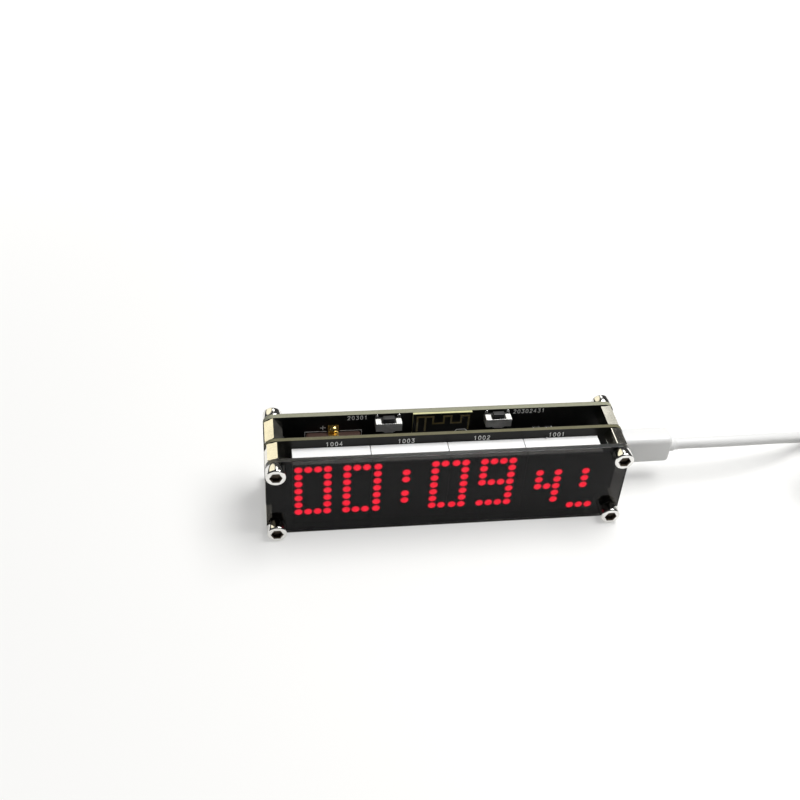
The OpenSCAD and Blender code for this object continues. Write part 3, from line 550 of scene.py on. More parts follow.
def rounded_outline(width, height, radius, steps):
    """Points round a rectangle with round corners, centred, as an array of (u, v): at each corner, its
    middle plus radius times (cos, sin) over a quarter turn."""
    quarter = np.linspace(0, np.pi / 2, steps + 1)
    corners = []
    for k, (u, v) in enumerate(((1, 1), (-1, 1), (-1, -1), (1, -1))):
        angle = quarter + k * np.pi / 2
        centre = np.array([u * (width / 2 - radius), v * (height / 2 - radius)])
        corners.append(centre + radius * np.stack([np.cos(angle), np.sin(angle)], -1))
    return np.concatenate(corners)


def block(low, high, radius):
    """A box with all edges rounded: round outlines in X and Z, drawn in towards the front and back.
    Each row is an outline shrunk by radius * (1 - sin t) at a depth of radius * (1 - cos t)."""
    steps = 2
    sharpest = 1e-3
    low = np.asarray(low, float)
    high = np.asarray(high, float)
    size = high - low
    centre = (low + high) / 2
    radius = min(radius, 0.49 * size.min())
    turn = np.linspace(0, np.pi / 2, steps + 1)
    shrink = radius * (1 - np.sin(turn))
    depth = radius * (1 - np.cos(turn))
    rows = []
    for inset, y in [*zip(shrink, depth), *zip(shrink[::-1], size[1] - depth[::-1])]:
        corner = max(radius - inset, sharpest)
        ring = rounded_outline(size[0] - 2 * inset, size[2] - 2 * inset, corner, steps)
        rows.append(np.insert(ring, 1, y - size[1] / 2, axis=1))
    cols = len(rows[0])
    ends = [np.tile([0.0, y, 0.0], (cols, 1)) for y in (-size[1] / 2, size[1] / 2)]
    points = np.concatenate([ends[0], *rows, ends[1]]) + centre
    return points, grid_faces(len(rows) + 2, cols, wrap_cols=True)


def bead(at, size, face=-1, sides=10, rows=4):
    """A drop of solder: half an ellipsoid on a board, which stands out along face (-1 or 1) in Y.
    Point = at + (width / 2 * cos t * cos a, face * height * sin t, depth / 2 * cos t * sin a)."""
    tilt = np.linspace(0, np.pi / 2, rows)[:, None]
    angle = np.arange(sides) * 2 * np.pi / sides
    x = size[0] / 2 * np.cos(tilt) * np.cos(angle)
    z = size[2] / 2 * np.cos(tilt) * np.sin(angle)
    y = face * size[1] * np.sin(tilt) * np.ones(sides)
    points = np.stack([x, y, z], -1).reshape(-1, 3)
    closed = np.concatenate([np.zeros((sides, 3)), points])
    return closed + np.asarray(at, float), grid_faces(rows + 1, sides, wrap_cols=True)


# How deep lines and solder reach into the board under them
SINK = 0.02


def ribbon(route, width, face_y, height, toward):
    """A flat line on a board: a route of (x, z) points carried by a width, mitred at its bends, from
    face_y outwards by height along toward (-1 or 1). Half its width over the cosine of half the bend
    is laid to each side, and it runs on by a quarter width past both ends."""
    sharpest = 0.4
    route = np.asarray(route, float)
    step = np.diff(route, axis=0)
    step /= np.linalg.norm(step, axis=1)[:, None]
    before = np.concatenate([step[:1], step])
    after = np.concatenate([step, step[-1:]])
    mean = before + after
    mean /= np.linalg.norm(mean, axis=1)[:, None]
    reach = width / 2 / np.maximum(sharpest, np.sum(mean * before, axis=1))[:, None]
    side = np.stack([-mean[:, 1], mean[:, 0]], -1) * reach
    ends = np.zeros_like(route)
    ends[0] = -step[0] * width / 4
    ends[-1] = step[-1] * width / 4
    left = route + side + ends
    right = route - side + ends
    corners = [(left, -SINK), (left, height), (right, height), (right, -SINK)]
    rows = [np.insert(p, 1, face_y + toward * h, axis=1) for p, h in corners]
    points = np.stack(rows, 1)
    count = len(route)
    faces = grid_faces(count, 4, wrap_cols=True).tolist()
    faces += [[3, 2, 1, 0], [4 * count - 4, 4 * count - 3, 4 * count - 2, 4 * count - 1]]
    return points.reshape(-1, 3), np.array(faces)


def sweep(path, radius, sides):
    """A round tube: a ring of points at each path point, across the path's direction there."""
    path = np.asarray(path, float)
    ahead = np.gradient(path, axis=0)
    ahead /= np.linalg.norm(ahead, axis=1)[:, None]
    side = np.cross(ahead, [0, 0, 1.0])
    side /= np.linalg.norm(side, axis=1)[:, None]
    up = np.cross(side, ahead)
    angle = np.arange(sides) * 2 * np.pi / sides
    radius = np.broadcast_to(radius, (len(path),))[:, None, None]
    across = np.cos(angle)[:, None] * side[:, None] + np.sin(angle)[:, None] * up[:, None]
    rings = path[:, None] + radius * across
    first, last = (np.tile(end, (sides, 1)) for end in (path[:1], path[-1:]))
    closed = np.concatenate([first, rings.reshape(-1, 3), last])
    return closed, grid_faces(len(path) + 2, sides, wrap_cols=True)


def smooth_path(points, step):
    """A smooth curve through points, with points a step apart along it. Between b and c, with a before
    and d after them, it is the cubic whose slope at each is half the way between its neighbours."""
    points = np.asarray(points, float)
    first = 2 * points[0] - points[1]
    last = 2 * points[-1] - points[-2]
    p = np.concatenate([[first], points, [last]])
    t = np.linspace(0, 1, 13)[:-1][None, :, None]
    a, b, c, d = (p[k:len(p) - 3 + k][:, None] for k in range(4))
    square = 2 * a - 5 * b + 4 * c - d
    cube = 3 * b - a - 3 * c + d
    curve = 0.5 * (2 * b + (c - a) * t + square * t ** 2 + cube * t ** 3)
    dense = np.concatenate([curve.reshape(-1, 3), points[-1:]])
    gone = np.concatenate([[0], np.cumsum(np.linalg.norm(np.diff(dense, axis=0), axis=1))])
    places = np.linspace(0, gone[-1], int(round(gone[-1] / step)) + 1)
    return np.stack([np.interp(places, gone, dense[:, k]) for k in range(3)], -1)


# The lead: its route from the plug's collar to the coil, and from the coil up to the far plug
RUN = [
    (68.4, 6.45, 11.2), (73, 6.45, 11.2), (78, 6.65, 11), (83, 7.1, 10.6), (88, 7.8, 10),
    (93, 8.65, 9.3), (98, 9.7, 8.4), (102.6, 10.9, 7.3), (107, 12.35, 5.9), (111, 13.95, 4.4),
    (114.4, 15.6, 3.1), (117.1, 17.3, 2.3), (119.4, 19.2, 2.05),
]
TAIL = [
    (152.5, 20.5, 13), (155.3, 17.3, 13.2), (157, 13.4, 13.8), (157.5, 9.2, 14.8),
    (156.7, 5, 16), (154.6, 1.3, 17.1), (151.5, -1.7, 18), (147.7, -3.6, 18.5),
    (143.5, -4.2, 18.65), (140.3, -4.2, 18.65),
]
CABLE_D = 3.2

# The coil: as in the imported part, in mm and degrees
COIL_AT = (136.5, 6.5)
COIL_FROM = 135
COIL_TO = 50
COIL_TURNS = 8
COIL_LAYERS = 4
COIL_MID_R = 17.2
COIL_PITCH = 3.65
COIL_Z = 2.05
COIL_STEPS = 40
coil_sweep = 360 * COIL_TURNS + COIL_FROM - COIL_TO
layer_sweep = coil_sweep / COIL_LAYERS
coil_reach = COIL_PITCH * layer_sweep / 720
coil_in_r = COIL_MID_R - coil_reach


def coil_points():
    """The coil's turns: the radius goes in and out again at a steady rate, and the height climbs one
    pitch in the half turn round each reversal."""
    gone = np.linspace(0, coil_sweep, int(COIL_STEPS * coil_sweep / 360))
    angle = np.radians(COIL_FROM - gone)
    way = (gone / layer_sweep) % 2
    radius = coil_in_r + 2 * coil_reach * np.abs(1 - way)
    height = np.full_like(gone, COIL_Z)
    for layer in range(1, COIL_LAYERS):
        share = np.clip((gone - layer * layer_sweep + 90) / 180, 0, 1)
        height += COIL_PITCH * share * share * (3 - 2 * share)
    return np.stack([COIL_AT[0] + radius * np.cos(angle), COIL_AT[1] + radius * np.sin(angle), height], -1)


PATH_STEP = 2.0
cable_path = smooth_path([*RUN[:-1], *coil_points(), *TAIL[1:]], PATH_STEP)
cable = piece("cable", [sweep(cable_path, CABLE_D / 2, 20)], MATERIALS["cable_white"])
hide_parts("cable_run", "cable_coil", "cable_tail")


def moulded_rows(x, outline, waist):
    """A moulded body along X, as rows: a round outline of (width in Y, height in Z, corner radius) whose
    two ends are drawn in by a quarter circle of radius ease. waist(share) scales it along its length."""
    ease = 0.9
    steps = 6
    least_corner = 0.05
    width, height, radius = outline
    turn = np.linspace(0, np.pi / 2, steps + 1)
    inset = ease * (1 - np.sin(turn))
    depth = ease * (1 - np.cos(turn))
    middle = np.linspace(x[0] + ease, x[1] - ease, 41)[1:-1]
    places = np.concatenate([x[0] + depth, middle, x[1] - depth[::-1]])
    insets = np.concatenate([inset, np.zeros(len(middle)), inset[::-1]])
    scale = waist((places - x[0]) / (x[1] - x[0]))
    rows = []
    for place, shrink, factor in zip(places, insets, scale):
        corner = max(radius - shrink / 2, least_corner)
        across, up = width * factor[0] - 2 * shrink, height * factor[1] - 2 * shrink
        rows.append(np.insert(rounded_outline(across, up, corner, steps), 0, place, axis=1))
    return rows


def closed_rows(rows, centre):
    """Rows of an outline along X as a closed part: each end is filled towards its middle."""
    cols = len(rows[0])
    ends = [np.tile(row.mean(axis=0), (cols, 1)) for row in (rows[0], rows[-1])]
    points = np.concatenate([ends[0], *rows, ends[1]]) + np.asarray(centre, float)
    return points, grid_faces(len(rows) + 2, cols, wrap_cols=True)


def fuller_middle(share):
    """Very slightly fuller in the middle, as soft mouldings are."""
    swell = 1 - 0.012 * (2 * share - 1) ** 2
    return np.stack([swell, swell], -1)


def grip_ribs(share):
    """Ribs across the middle: small waves in width and height, which fade out at both ends."""
    count, middle, last, fade = 12, 0.62, 0.78, 8
    ribs = 0.5 + 0.5 * np.cos((share - 0.25) * 2 * np.pi * count)
    where = np.clip((0.5 - np.abs(share - middle) * 2) * fade, 0, 1) * np.clip((last - share) * fade, 0, 1)
    return np.stack([1 - 0.035 * where * ribs, 1 - 0.02 * where * ribs], -1)


def short_collar(length, radius):
    """Profile of the collar in the photo: a straight band that narrows to a thin sleeve."""
    thin = CABLE_D / 2 + 0.12
    rows = [(radius, 0), (radius, 0.42), (radius - 0.06, 0.5), (radius - 0.2, 0.56), (thin + 0.1, 0.66),
            (thin, 0.8), (thin, 1)]
    return [(0, 0), *[(r, share * length) for r, share in rows], (0, length)]


def grooved_collar(length, radius):
    """Profile of the far collar: a cone with rings cut into it, each half of a sine wave deep."""
    rings, depth = 3.5, 0.16
    t = np.linspace(0, 1, 33)
    cone = radius * (1 - t) + (CABLE_D / 2 + 0.15) * t
    grooves = depth * np.clip(np.sin(t * 2 * np.pi * rings - 0.6), 0, 1)
    return [(0, 0), *zip(cone - grooves, t * length), (0, length)]


def moulded_plug(name, nodes, corner, waist, collar):
    """The moulded body and the turned collar of a plug, in place of a pair of nodes."""
    low, high = span(nodes[0])
    size = high - low
    middle = (low + high) / 2
    start, end = span(nodes[1])
    rows = moulded_rows((low[0], high[0]), (size[1], size[2], corner), waist)
    body = closed_rows(rows, (0, middle[1], middle[2]))
    profile = collar(end[0] - start[0], (end[1] - start[1]) / 2)
    turned = lathe(profile, (start[0], middle[1], middle[2]), "+x", 32)
    made = [piece(name + "_body", [body], MATERIALS["lead_white"], sharp=50),
            piece(name + "_collar", [turned], MATERIALS["lead_white"], sharp=40)]
    for moulded, node in zip(made, nodes):
        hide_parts(node)
    return made


def far_plug_shell():
    """Pressed shell of the far plug: a round outline along X with two windows in each broad wall."""
    low, high = span("usb_a_shell")
    centre = (low + high) / 2
    size = high - low
    window = (1.6, 3.9)
    window_x = (4.2, 6.4)
    flat_end = 4.6
    lip = 0.6
    wall_thickness = 0.3
    flats = np.array([-flat_end, -window[1], -window[0], 0, window[0], window[1], flat_end])
    outline = rounded_outline(size[1], size[2], 0.6, 4)
    corner = len(outline) // 4
    top = np.stack([flats[::-1], np.full(7, size[2] / 2)], -1)
    bottom = np.stack([flats, np.full(7, -size[2] / 2)], -1)
    loop = np.concatenate([outline[:corner], top, outline[corner:3 * corner], bottom, outline[3 * corner:]])
    places = [(0, 0.985), (0.15, 1), (window_x[0], 1), (window_x[1], 1), (size[0] - lip, 1), (size[0], 1)]
    rows = [np.insert(loop * scale, 0, low[0] + x, axis=1) for x, scale in places]
    points = np.concatenate(rows) + (0, centre[1], centre[2])
    faces = grid_faces(len(rows), len(loop), wrap_cols=True)
    middle = points[faces].mean(axis=1) - (low[0], centre[1], centre[2])
    in_y = (np.abs(middle[:, 1]) > window[0]) & (np.abs(middle[:, 1]) < window[1])
    in_x = (middle[:, 0] > window_x[0]) & (middle[:, 0] < window_x[1])
    broad = np.abs(middle[:, 2]) > size[2] / 2 - 0.01
    kept = faces[~(in_x & in_y & broad)]
    shell = piece("far_plug_shell", [(points, kept)], MATERIALS["sheet_metal"], sharp=40)
    wall = shell.modifiers.new("wall", "SOLIDIFY")
    wall.thickness = wall_thickness * MM
    wall.offset = -1
    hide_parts("usb_a_shell")
    return shell


def far_plug_contacts():
    """Four gold contacts under the tongue, the outer two longer."""
    low, high = span("usb_a_tongue")
    pitch = 2.25
    half_width = 0.5
    start = low[0] + 0.8
    bottom = low[2] - 0.09
    top = low[2] + 0.05
    parts = []
    for k, length in ((-1.5, 7.4), (-0.5, 6.4), (0.5, 6.4), (1.5, 7.4)):
        y = (low[1] + high[1]) / 2 + k * pitch
        parts.append(block((start, y - half_width, bottom), (start + length, y + half_width, top), 0.06))
    return piece("far_plug_contacts", parts, MATERIALS["gold_plate"])


def strap_piece():
    """Hook and loop strap round the turns: a rounded loop across the bundle, carrying a flat section
    with bevelled edges. Each point is the loop's, moved outwards by the section's lift."""
    low, high = span("cable_tie")
    thick = 0.4
    fill = 0.96
    round_reach = 1.6
    middle = (low + high) / 2
    size = high - low
    loop = rounded_outline(size[1] - thick, size[2] - thick, 1.1, 6)
    straight = size[1:] / 2 - round_reach
    away = loop - np.clip(loop, -straight, straight)
    normal = away / np.linalg.norm(away, axis=1)[:, None]
    half = size[0] / 2
    edge = half - 0.2
    section = [(-half, -0.5), (-half, 0.3), (-edge, 0.5), (edge, 0.5), (half, 0.3), (half, -0.5)]
    rows = [np.insert(loop + normal * lift * thick * fill, 0, across, axis=1) for across, lift in section]
    points = np.stack(rows, 1).reshape(-1, 3) + middle
    strap = piece("coil_strap", [(points, grid_faces(len(loop), len(section), True, True))],
                  MATERIALS["tie_strap"])
    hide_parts("cable_tie")
    return strap


on_cable = [
    NODES["usb_plug_shell"], NODES["usb_a_tongue"], strap_piece(),
    *moulded_plug("plug", ("usb_plug_body", "usb_plug_relief"), 1.5, fuller_middle, short_collar),
    *moulded_plug("far_plug", ("usb_a_body", "usb_a_relief"), 1.9, grip_ribs, grooved_collar),
    far_plug_shell(), far_plug_contacts(),
]


# Stack hardware

def turned_standoffs():
    """Hexagonal standoffs, turned down to a cone of 30 degrees at both ends, with a shallow bore.
    Radius = the smaller of the hexagon's and the cone's at that height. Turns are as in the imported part."""
    rows_of = {"front_standoffs": (PANEL[1][1], LED_BOARD[0][1], ((21, -15), (-18, 24))),
               "rear_standoffs": (LED_BOARD[1][1], MAIN_BOARD[0][1], ((18, 0), (-20, 30)))}
    across_flats = 4.7
    end_r = across_flats / 2 - 0.02
    bore_r = 1.5
    bore_depth = 0.35
    angle = np.radians(np.arange(0, 360, 5))
    for node, (start, end, sides) in rows_of.items():
        length = end - start
        near = np.array([0, 0.05, 0.1, 0.16, 0.22, 0.3])
        height = np.concatenate([near, length - near[::-1]])
        cone = end_r + np.concatenate([near, near[::-1]]) * math.tan(math.radians(60))
        parts = []
        for places, angles in zip(CORNERS, sides):
            for (x, z), turn in zip(places, angles):
                radius = np.minimum(hex_radius(angle, across_flats, turn)[None], cone[:, None])
                bore = np.full((1, len(angle)), bore_r)
                radius = np.concatenate([bore, bore, radius, bore, bore])
                heights = np.concatenate([[bore_depth, 0], height, [length, length - bore_depth]])
                parts.append(turned_grid(radius, heights, angle, (x, start, z), "+y", ring=True))
        made = piece("turned_" + node, parts, MATERIALS["standoff_metal"], sharp=20)
        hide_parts(node)


def cap_screws():
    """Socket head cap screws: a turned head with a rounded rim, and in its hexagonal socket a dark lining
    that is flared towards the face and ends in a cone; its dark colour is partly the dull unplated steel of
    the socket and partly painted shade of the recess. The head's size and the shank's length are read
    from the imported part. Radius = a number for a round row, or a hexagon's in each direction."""
    low, high = span("front_screws")
    panel_front = PANEL[0][1]
    board_back = MAIN_BOARD[1][1]
    head_r = high[0] - HOLE_X
    head_h = panel_front - low[1]
    screws = {"front_screws": (panel_front, high[1] - panel_front, "+y"),
              "rear_screws": (board_back, board_back - span("rear_screws")[0][1], "-y")}
    rim = 0.45
    shank_r = 1.44
    shank_end = 0.4
    key = 2.5
    flare = 2.95
    wall = 0.03
    deep = 1.3
    angle = np.radians(np.arange(0, 360, 5))
    turn = np.linspace(0, np.pi / 2, 6)
    rounded = [(head_r - rim * (1 - math.sin(t)), -head_h + rim * (1 - math.cos(t))) for t in turn]
    socket = hex_radius(angle, flare, 30)
    keyway = hex_radius(angle, key, 30)
    mouth = -head_h
    floor = mouth + deep
    head = [(0.0, floor + 0.6), (socket + 2 * wall, floor + 0.2), (socket, mouth), *rounded,
            (head_r, -0.12), (head_r - 0.04, -0.04), (head_r - 0.12, 0), (shank_r, 0)]
    lining = [(0.0, floor + 0.35), (keyway, floor), (keyway, mouth + 0.3),
              (socket - 0.01, mouth + 0.01), (socket - 0.005, mouth + 0.05),
              (socket + wall, floor + 0.1), (0.0, floor + 0.5)]
    for node, (start, length, axis) in screws.items():
        shank = [(shank_r, length - shank_end), (shank_r - shank_end, length), (0.0, length)]
        heads = []
        linings = []
        for x, z in CORNERS[0] + CORNERS[1]:
            for rows, parts in ((head + shank, heads), (lining, linings)):
                radius = np.stack([np.broadcast_to(r, angle.shape) for r, h in rows])
                parts.append(turned_grid(radius, [h for r, h in rows], angle, (x, start, z), axis))
        made = piece("cap_" + node, heads, MATERIALS["screw_steel"], sharp=28)
        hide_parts(node)
        # The dark linings paint the sockets' shade as well as their dull steel
        piece("sockets_of_" + node, linings, SOCKET_STEEL_AND_SHADE, sharp=28)


# Added to each module's length, so that the modules all but touch
SEAM_FILL = 0.22

turned_standoffs()
cap_screws()
softened("smoked_panel", "front_panel", 0.12)
for k in (1, 2, 3, 4):
    softened(f"module_housing_{k}", f"led_housing_{k}", 0.08, widen=SEAM_FILL)


# Display

DOT_RADIUS = 0.93
# How far out, over the dot's radius, the ring of painted red glow on the black face reaches
PAINTED_GLOW_REACH = 1.38


def lit_dots():
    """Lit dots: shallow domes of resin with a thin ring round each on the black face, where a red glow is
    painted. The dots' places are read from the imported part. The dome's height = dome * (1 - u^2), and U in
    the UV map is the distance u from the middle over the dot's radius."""
    dome = 0.05
    above_face = 0.012
    into_face = 0.01
    corners = np.array([v.co for v in NODES["led_dots_lit"].data.vertices]) / MM
    pitch = (MODULES[0][1][0] - MODULES[0][0][0]) / 8
    middles = set()
    for low_corner, high_corner in MODULES:
        left = low_corner[0] + pitch / 2
        inside = (corners[:, 0] > low_corner[0]) & (corners[:, 0] < high_corner[0])
        columns = np.round((corners[inside, 0] - left) / pitch).astype(int)
        rows = np.round((corners[inside, 2] - MIDDLE_Z) / pitch - 0.5).astype(int)
        middles |= {(left + c * pitch, MIDDLE_Z + (r + 0.5) * pitch) for c, r in set(zip(columns, rows))}
    centres = np.array(sorted(middles))
    face = span("led_dots_lit")[0][1]
    share = np.array([0.0, PAINTED_GLOW_REACH, PAINTED_GLOW_REACH, 1.32, 1.2, 1.1, 1.0, 0.85, 0.6, 0.3, 0.0])
    height = face - above_face - dome * (1 - np.minimum(share, 1) ** 2)
    height[:2] = face + into_face
    profile = np.stack([share * DOT_RADIUS, height], -1)
    parts = [lathe(profile, (x, 0, z), "+y", 20) for x, z in centres]
    made = piece("lit_dots", parts, MATERIALS["dot_lit"], sharp=60)
    mesh = made.data
    where = np.array([v.co for v in mesh.vertices]) / MM
    from_middle = np.sqrt(((where[:, None, [0, 2]] - centres[None]) ** 2).sum(-1)).min(1) / DOT_RADIUS
    loop_vertex = np.zeros(len(mesh.loops), int)
    mesh.loops.foreach_get("vertex_index", loop_vertex)
    values = np.stack([from_middle[loop_vertex], np.zeros(len(loop_vertex))], -1)
    mesh.uv_layers.new(name="dot").data.foreach_set("uv", values.ravel())
    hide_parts("led_dots_lit")


lit_dots()


# Switches, radio module, cell and socket

def cover_tab(switch):
    """The small tab that a switch's metal cover bends down over its front."""
    low, high = span(f"{switch}_cover")
    x = (low[0] + high[0]) / 2
    half_width, thick, drop, lap = 1.2, 0.25, 0.25, 0.1
    tab = block((x - half_width, low[1], low[2] - drop),
                (x + half_width, low[1] + thick, low[2] + lap), 0.08)
    piece(f"{switch}_cover_tab", [tab], MATERIALS["sheet_metal"])


for switch in ("reset", "mode"):
    softened(f"{switch}_switch_cover", f"{switch}_cover", 0.06)
    softened(f"{switch}_switch_housing", f"{switch}_housing", 0.08)
    softened(f"{switch}_switch_button", f"{switch}_button", 0.14, body=f"{switch}_button", segments=3)
    cover_tab(switch)

# New name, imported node, radius of the edges and steps round each
for name, node, width, segments in (
        ("shield_can", "radio_shield", 0.12, 2),
        ("cell_tray", "cell_holder", 0.25, 3),
        ("socket_shell", "usb_socket_shell", 0.05, 2),
        ("socket_header", "header_socket", 0.06, 2),
        ("pin_header", "header_base", 0.06, 2),
        ("driver_packages", "driver_chips", 0.1, 2),
        ("usb_chip_package", "usb_chip", 0.08, 2),
        ("clock_chip_package", "clock_chip", 0.1, 2),
        ("regulator_package", "voltage_regulator", 0.1, 2),
        ("crystal_can", "crystal", 0.15, 2),
        ("radio_packages", "radio_chips", 0.06, 2)):
    softened(name, node, width, segments=segments)


def spring_clip():
    """The cell's spring clip: a strip bent round two risers over the tray, with a foot at each end that
    is held by a drop. The strip's middle line is a smooth route in Y and Z, its section a flat band."""
    low, high = span("cell_clip")
    tray_low, tray_high = span("cell_holder")
    x = (low[0] + high[0]) / 2
    half = (high[0] - low[0]) / 2
    gap = 0.1
    corner = 0.45
    half_thick = 0.09
    near = low[1] + gap
    far = high[1] - gap
    bottom = tray_low[2] - gap
    top = tray_high[2] + gap
    middle = (top + bottom) / 2

    def bend(centre, start, stop):
        """An arc of the middle line round a bend."""
        angle = np.radians(np.linspace(start, stop, 7))
        return [(centre[0] + corner * math.cos(a), centre[1] + corner * math.sin(a)) for a in angle]

    line = np.array([
        (far, low[2]),
        *bend((far - corner, bottom - corner), 0, 90),
        *bend((near + corner, bottom + corner), 270, 180),
        (near, middle - 3), (near, middle), (near, middle + 3),
        *bend((near + corner, top - corner), 180, 90),
        *bend((far - corner, top + corner), 270, 360),
        (far, high[2]),
    ])
    ahead = np.gradient(line, axis=0)
    ahead /= np.linalg.norm(ahead, axis=1)[:, None]
    normal = np.stack([-ahead[:, 1], ahead[:, 0]], -1)
    band = ((-half, -half_thick), (-half, half_thick), (half, half_thick), (half, -half_thick))
    rows = [np.insert(line + normal * lift, 0, across, axis=1) for across, lift in band]
    points = np.stack(rows, 1).reshape(-1, 3) + (x, 0, 0)
    last = 4 * len(line) - 4
    faces = grid_faces(len(line), 4, wrap_cols=True).tolist()
    faces += [[0, 1, 2, 3], [last, last + 1, last + 2, last + 3]]
    drops = [bead((x, high[1] - 0.15, z), (2.5, 1.3, 1.9), sides=20, rows=7)
             for z in (low[2] + 1.0, high[2] - 1.0)]
    clip = piece("spring_clip", [(points, np.array(faces)), *drops], MATERIALS["gold_plate"],
                 sharp=40)
    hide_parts("cell_clip")


spring_clip()


# Small parts on the boards

def chip_parts():
    """Small capacitors and resistors: a ceramic body between two tinned ends.
    Their places come from the CAD solids, split into groups of points that lie close together."""
    looks = {"capacitors": ("capacitor", MATERIALS["capacitor_body"], "capacitor_body"),
             "resistors": ("resistor", CERAMIC_BLACK, "chip_epoxy")}
    widest_cap = 0.45
    cap_share = 0.24
    for node, (word, body_material, slot) in looks.items():
        bodies = []
        ends = []
        for low, high in islands(node):
            cap = min(widest_cap, (high[0] - low[0]) * cap_share)
            inside = np.array([cap * 0.8, 0.03, 0.03])
            bodies.append(block(low + inside, high - inside, 0.05))
            ends.append(block(low, (low[0] + cap, high[1], high[2]), 0.1))
            ends.append(block((high[0] - cap, low[1], low[2]), high, 0.1))
        made = piece(f"{word}_bodies", bodies, body_material)
        caps = piece(f"{word}_ends", ends, MATERIALS["solder_tin"])
        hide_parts(node)
        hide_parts(node)


def islands(node):
    """Lowest and highest corner of each separate solid of a CAD node."""
    work = welded(NODES[node].data, WELD_SOLID)
    left = set(work.verts)
    found = []
    while left:
        edge = [left.pop()]
        seen = list(edge)
        while edge:
            vertex = edge.pop()
            for link in vertex.link_edges:
                other = link.other_vert(vertex)
                if other in left:
                    left.remove(other)
                    edge.append(other)
                    seen.append(other)
        points = np.array([v.co for v in seen]) / MM
        found.append((points.min(0), points.max(0)))
    work.free()
    return sorted(found, key=lambda pair: tuple(pair[0]))


chip_parts()

# Boxes of the separate leads, pins and terminals, for solder and pads
LED_PINS = islands("led_pins")
HEADER_PINS = islands("header_pins")
TERMINALS = islands("reset_terminals") + islands("mode_terminals")
DRIVERS = islands("driver_chips")


# A small test point on the LED board, above the last module
TEST_POINT = (26.65, LED_BOARD[0][1] + 0.01, 23.08)


def solder_joints():
    """Solder: cones round the pins that come through the boards, and drops at terminals and feet.
    A cone's radius falls from the pad's to the pin's as (1 - t)^2, with t up its height."""
    t = np.linspace(0, 1, 5)
    gap = 0.03
    dip = 0.01
    main_front, main_back = MAIN_BOARD[0][1], MAIN_BOARD[1][1]
    parts = []
    for pins, face_y, pad_r, height in (
            (LED_PINS, LED_BOARD[1][1], 0.72, 0.75), (HEADER_PINS, main_back, 0.82, 0.8)):
        for low, high in pins:
            pin_r = (high[0] - low[0]) / 2
            radius = pin_r + gap + (pad_r - pin_r) * (1 - t) ** 2
            profile = [(0, -SINK), (pad_r, -SINK), *zip(radius, t * height), (0, height)]
            parts.append(lathe(profile, ((low[0] + high[0]) / 2, face_y, (low[2] + high[2]) / 2), "+y", 12))
    for low, high in TERMINALS:
        middle = (low + high) / 2
        parts.append(bead((middle[0], main_front + dip, middle[2]), (1.0, 0.3, 1.0)))
    socket_low, socket_high = span("usb_socket_shell")
    for x in (socket_low[0] + 1.2, socket_high[0] - 1.4):
        for z in (socket_low[2] - 0.25, socket_high[2] + 0.25):
            parts.append(bead((x, main_front + dip, z), (1.9, 0.7, 0.9)))
            parts.append(bead((x, main_back - dip, z), (1.7, 0.5, 1.1), face=1))
    parts.append(bead(TEST_POINT, (0.4, 0.6, 0.4)))
    piece("solder_joints", parts, MATERIALS["solder_tin"], sharp=50)


def radio_pads():
    """Half-round plated pads along both edges and the foot of the radio board, with solder below them."""
    low, high = RADIO
    half = 0.45
    proud = 0.03
    pads = []
    drops = []
    for k in range(8):
        z = low[2] + 1.9 + k * 2.0
        for x, side in ((low[0], -1), (high[0], 1)):
            inner = x + 0.38 * side
            pads.append(block((inner - half, low[1] - proud, z - half),
                              (inner + half - 0.7 * side, high[1], z + half), 0.05))
            drops.append(bead((x + 0.28 * side, high[1] + 0.01, z), (1.0, 0.55, 0.95)))
    for k in range(6):
        x = (k - 2.5) * 1.5
        pads.append(block((x - 0.42, low[1] - proud, low[2] - 0.04),
                          (x + 0.42, high[1], low[2] + 0.75), 0.05))
    piece("radio_pads", pads, MATERIALS["gold_plate"])
    piece("radio_solder", drops, MATERIALS["solder_tin"], sharp=50)


solder_joints()
radio_pads()


# Copper, vias and print on the boards

TRACK_W = 0.25
TRACK_H = 0.025


def via(x, z, face_y, toward):
    """A plated hole under the mask: a low ring with a small pit, closed underneath."""
    profile = [(0, -SINK), (0.46, -SINK), (0.46, 0.02), (0.34, 0.035), (0.2, 0.03), (0.12, 0.0), (0, -0.01)]
    return lathe(profile, (x, face_y, z), "+y" if toward > 0 else "-y", 12)


def led_board_copper():
    """Tracks on the rear of the LED board, from each driver's leads out to the pins above and below, and
    the masked rim round the test point on its front."""
    back = LED_BOARD[1][1]
    lead_pitch, pin_pitch = 1.27, 2.54
    lead_end, pin_row, straight = 4.9, 7.0, 0.1
    longest_slant = 1.9
    tracks = [bead(TEST_POINT, (0.64, 0.4, 0.64))]
    for k, (low, high) in enumerate(DRIVERS):
        x = (low[0] + high[0]) / 2
        for side in (-1, 1):
            for lead in range(8):
                lead_x = x + (lead - 5.5) * lead_pitch
                pin_x = x + (lead - 3.5) * pin_pitch
                reach = MIDDLE_Z + side * pin_row
                turn = reach - side * min(abs(pin_x - lead_x), longest_slant)
                start = MIDDLE_Z + side * lead_end
                route = [(lead_x, start), (lead_x, turn - side * straight), (pin_x, reach)]
                tracks.append(ribbon(route, TRACK_W, back, TRACK_H, 1))
        if k < 3:
            for lane in range(4):
                z = MIDDLE_Z + 9.4 + lane * 0.55
                tracks.append(ribbon([(x - 8, z), (x + 12.4, z)], TRACK_W, back, TRACK_H, 1))
    return tracks


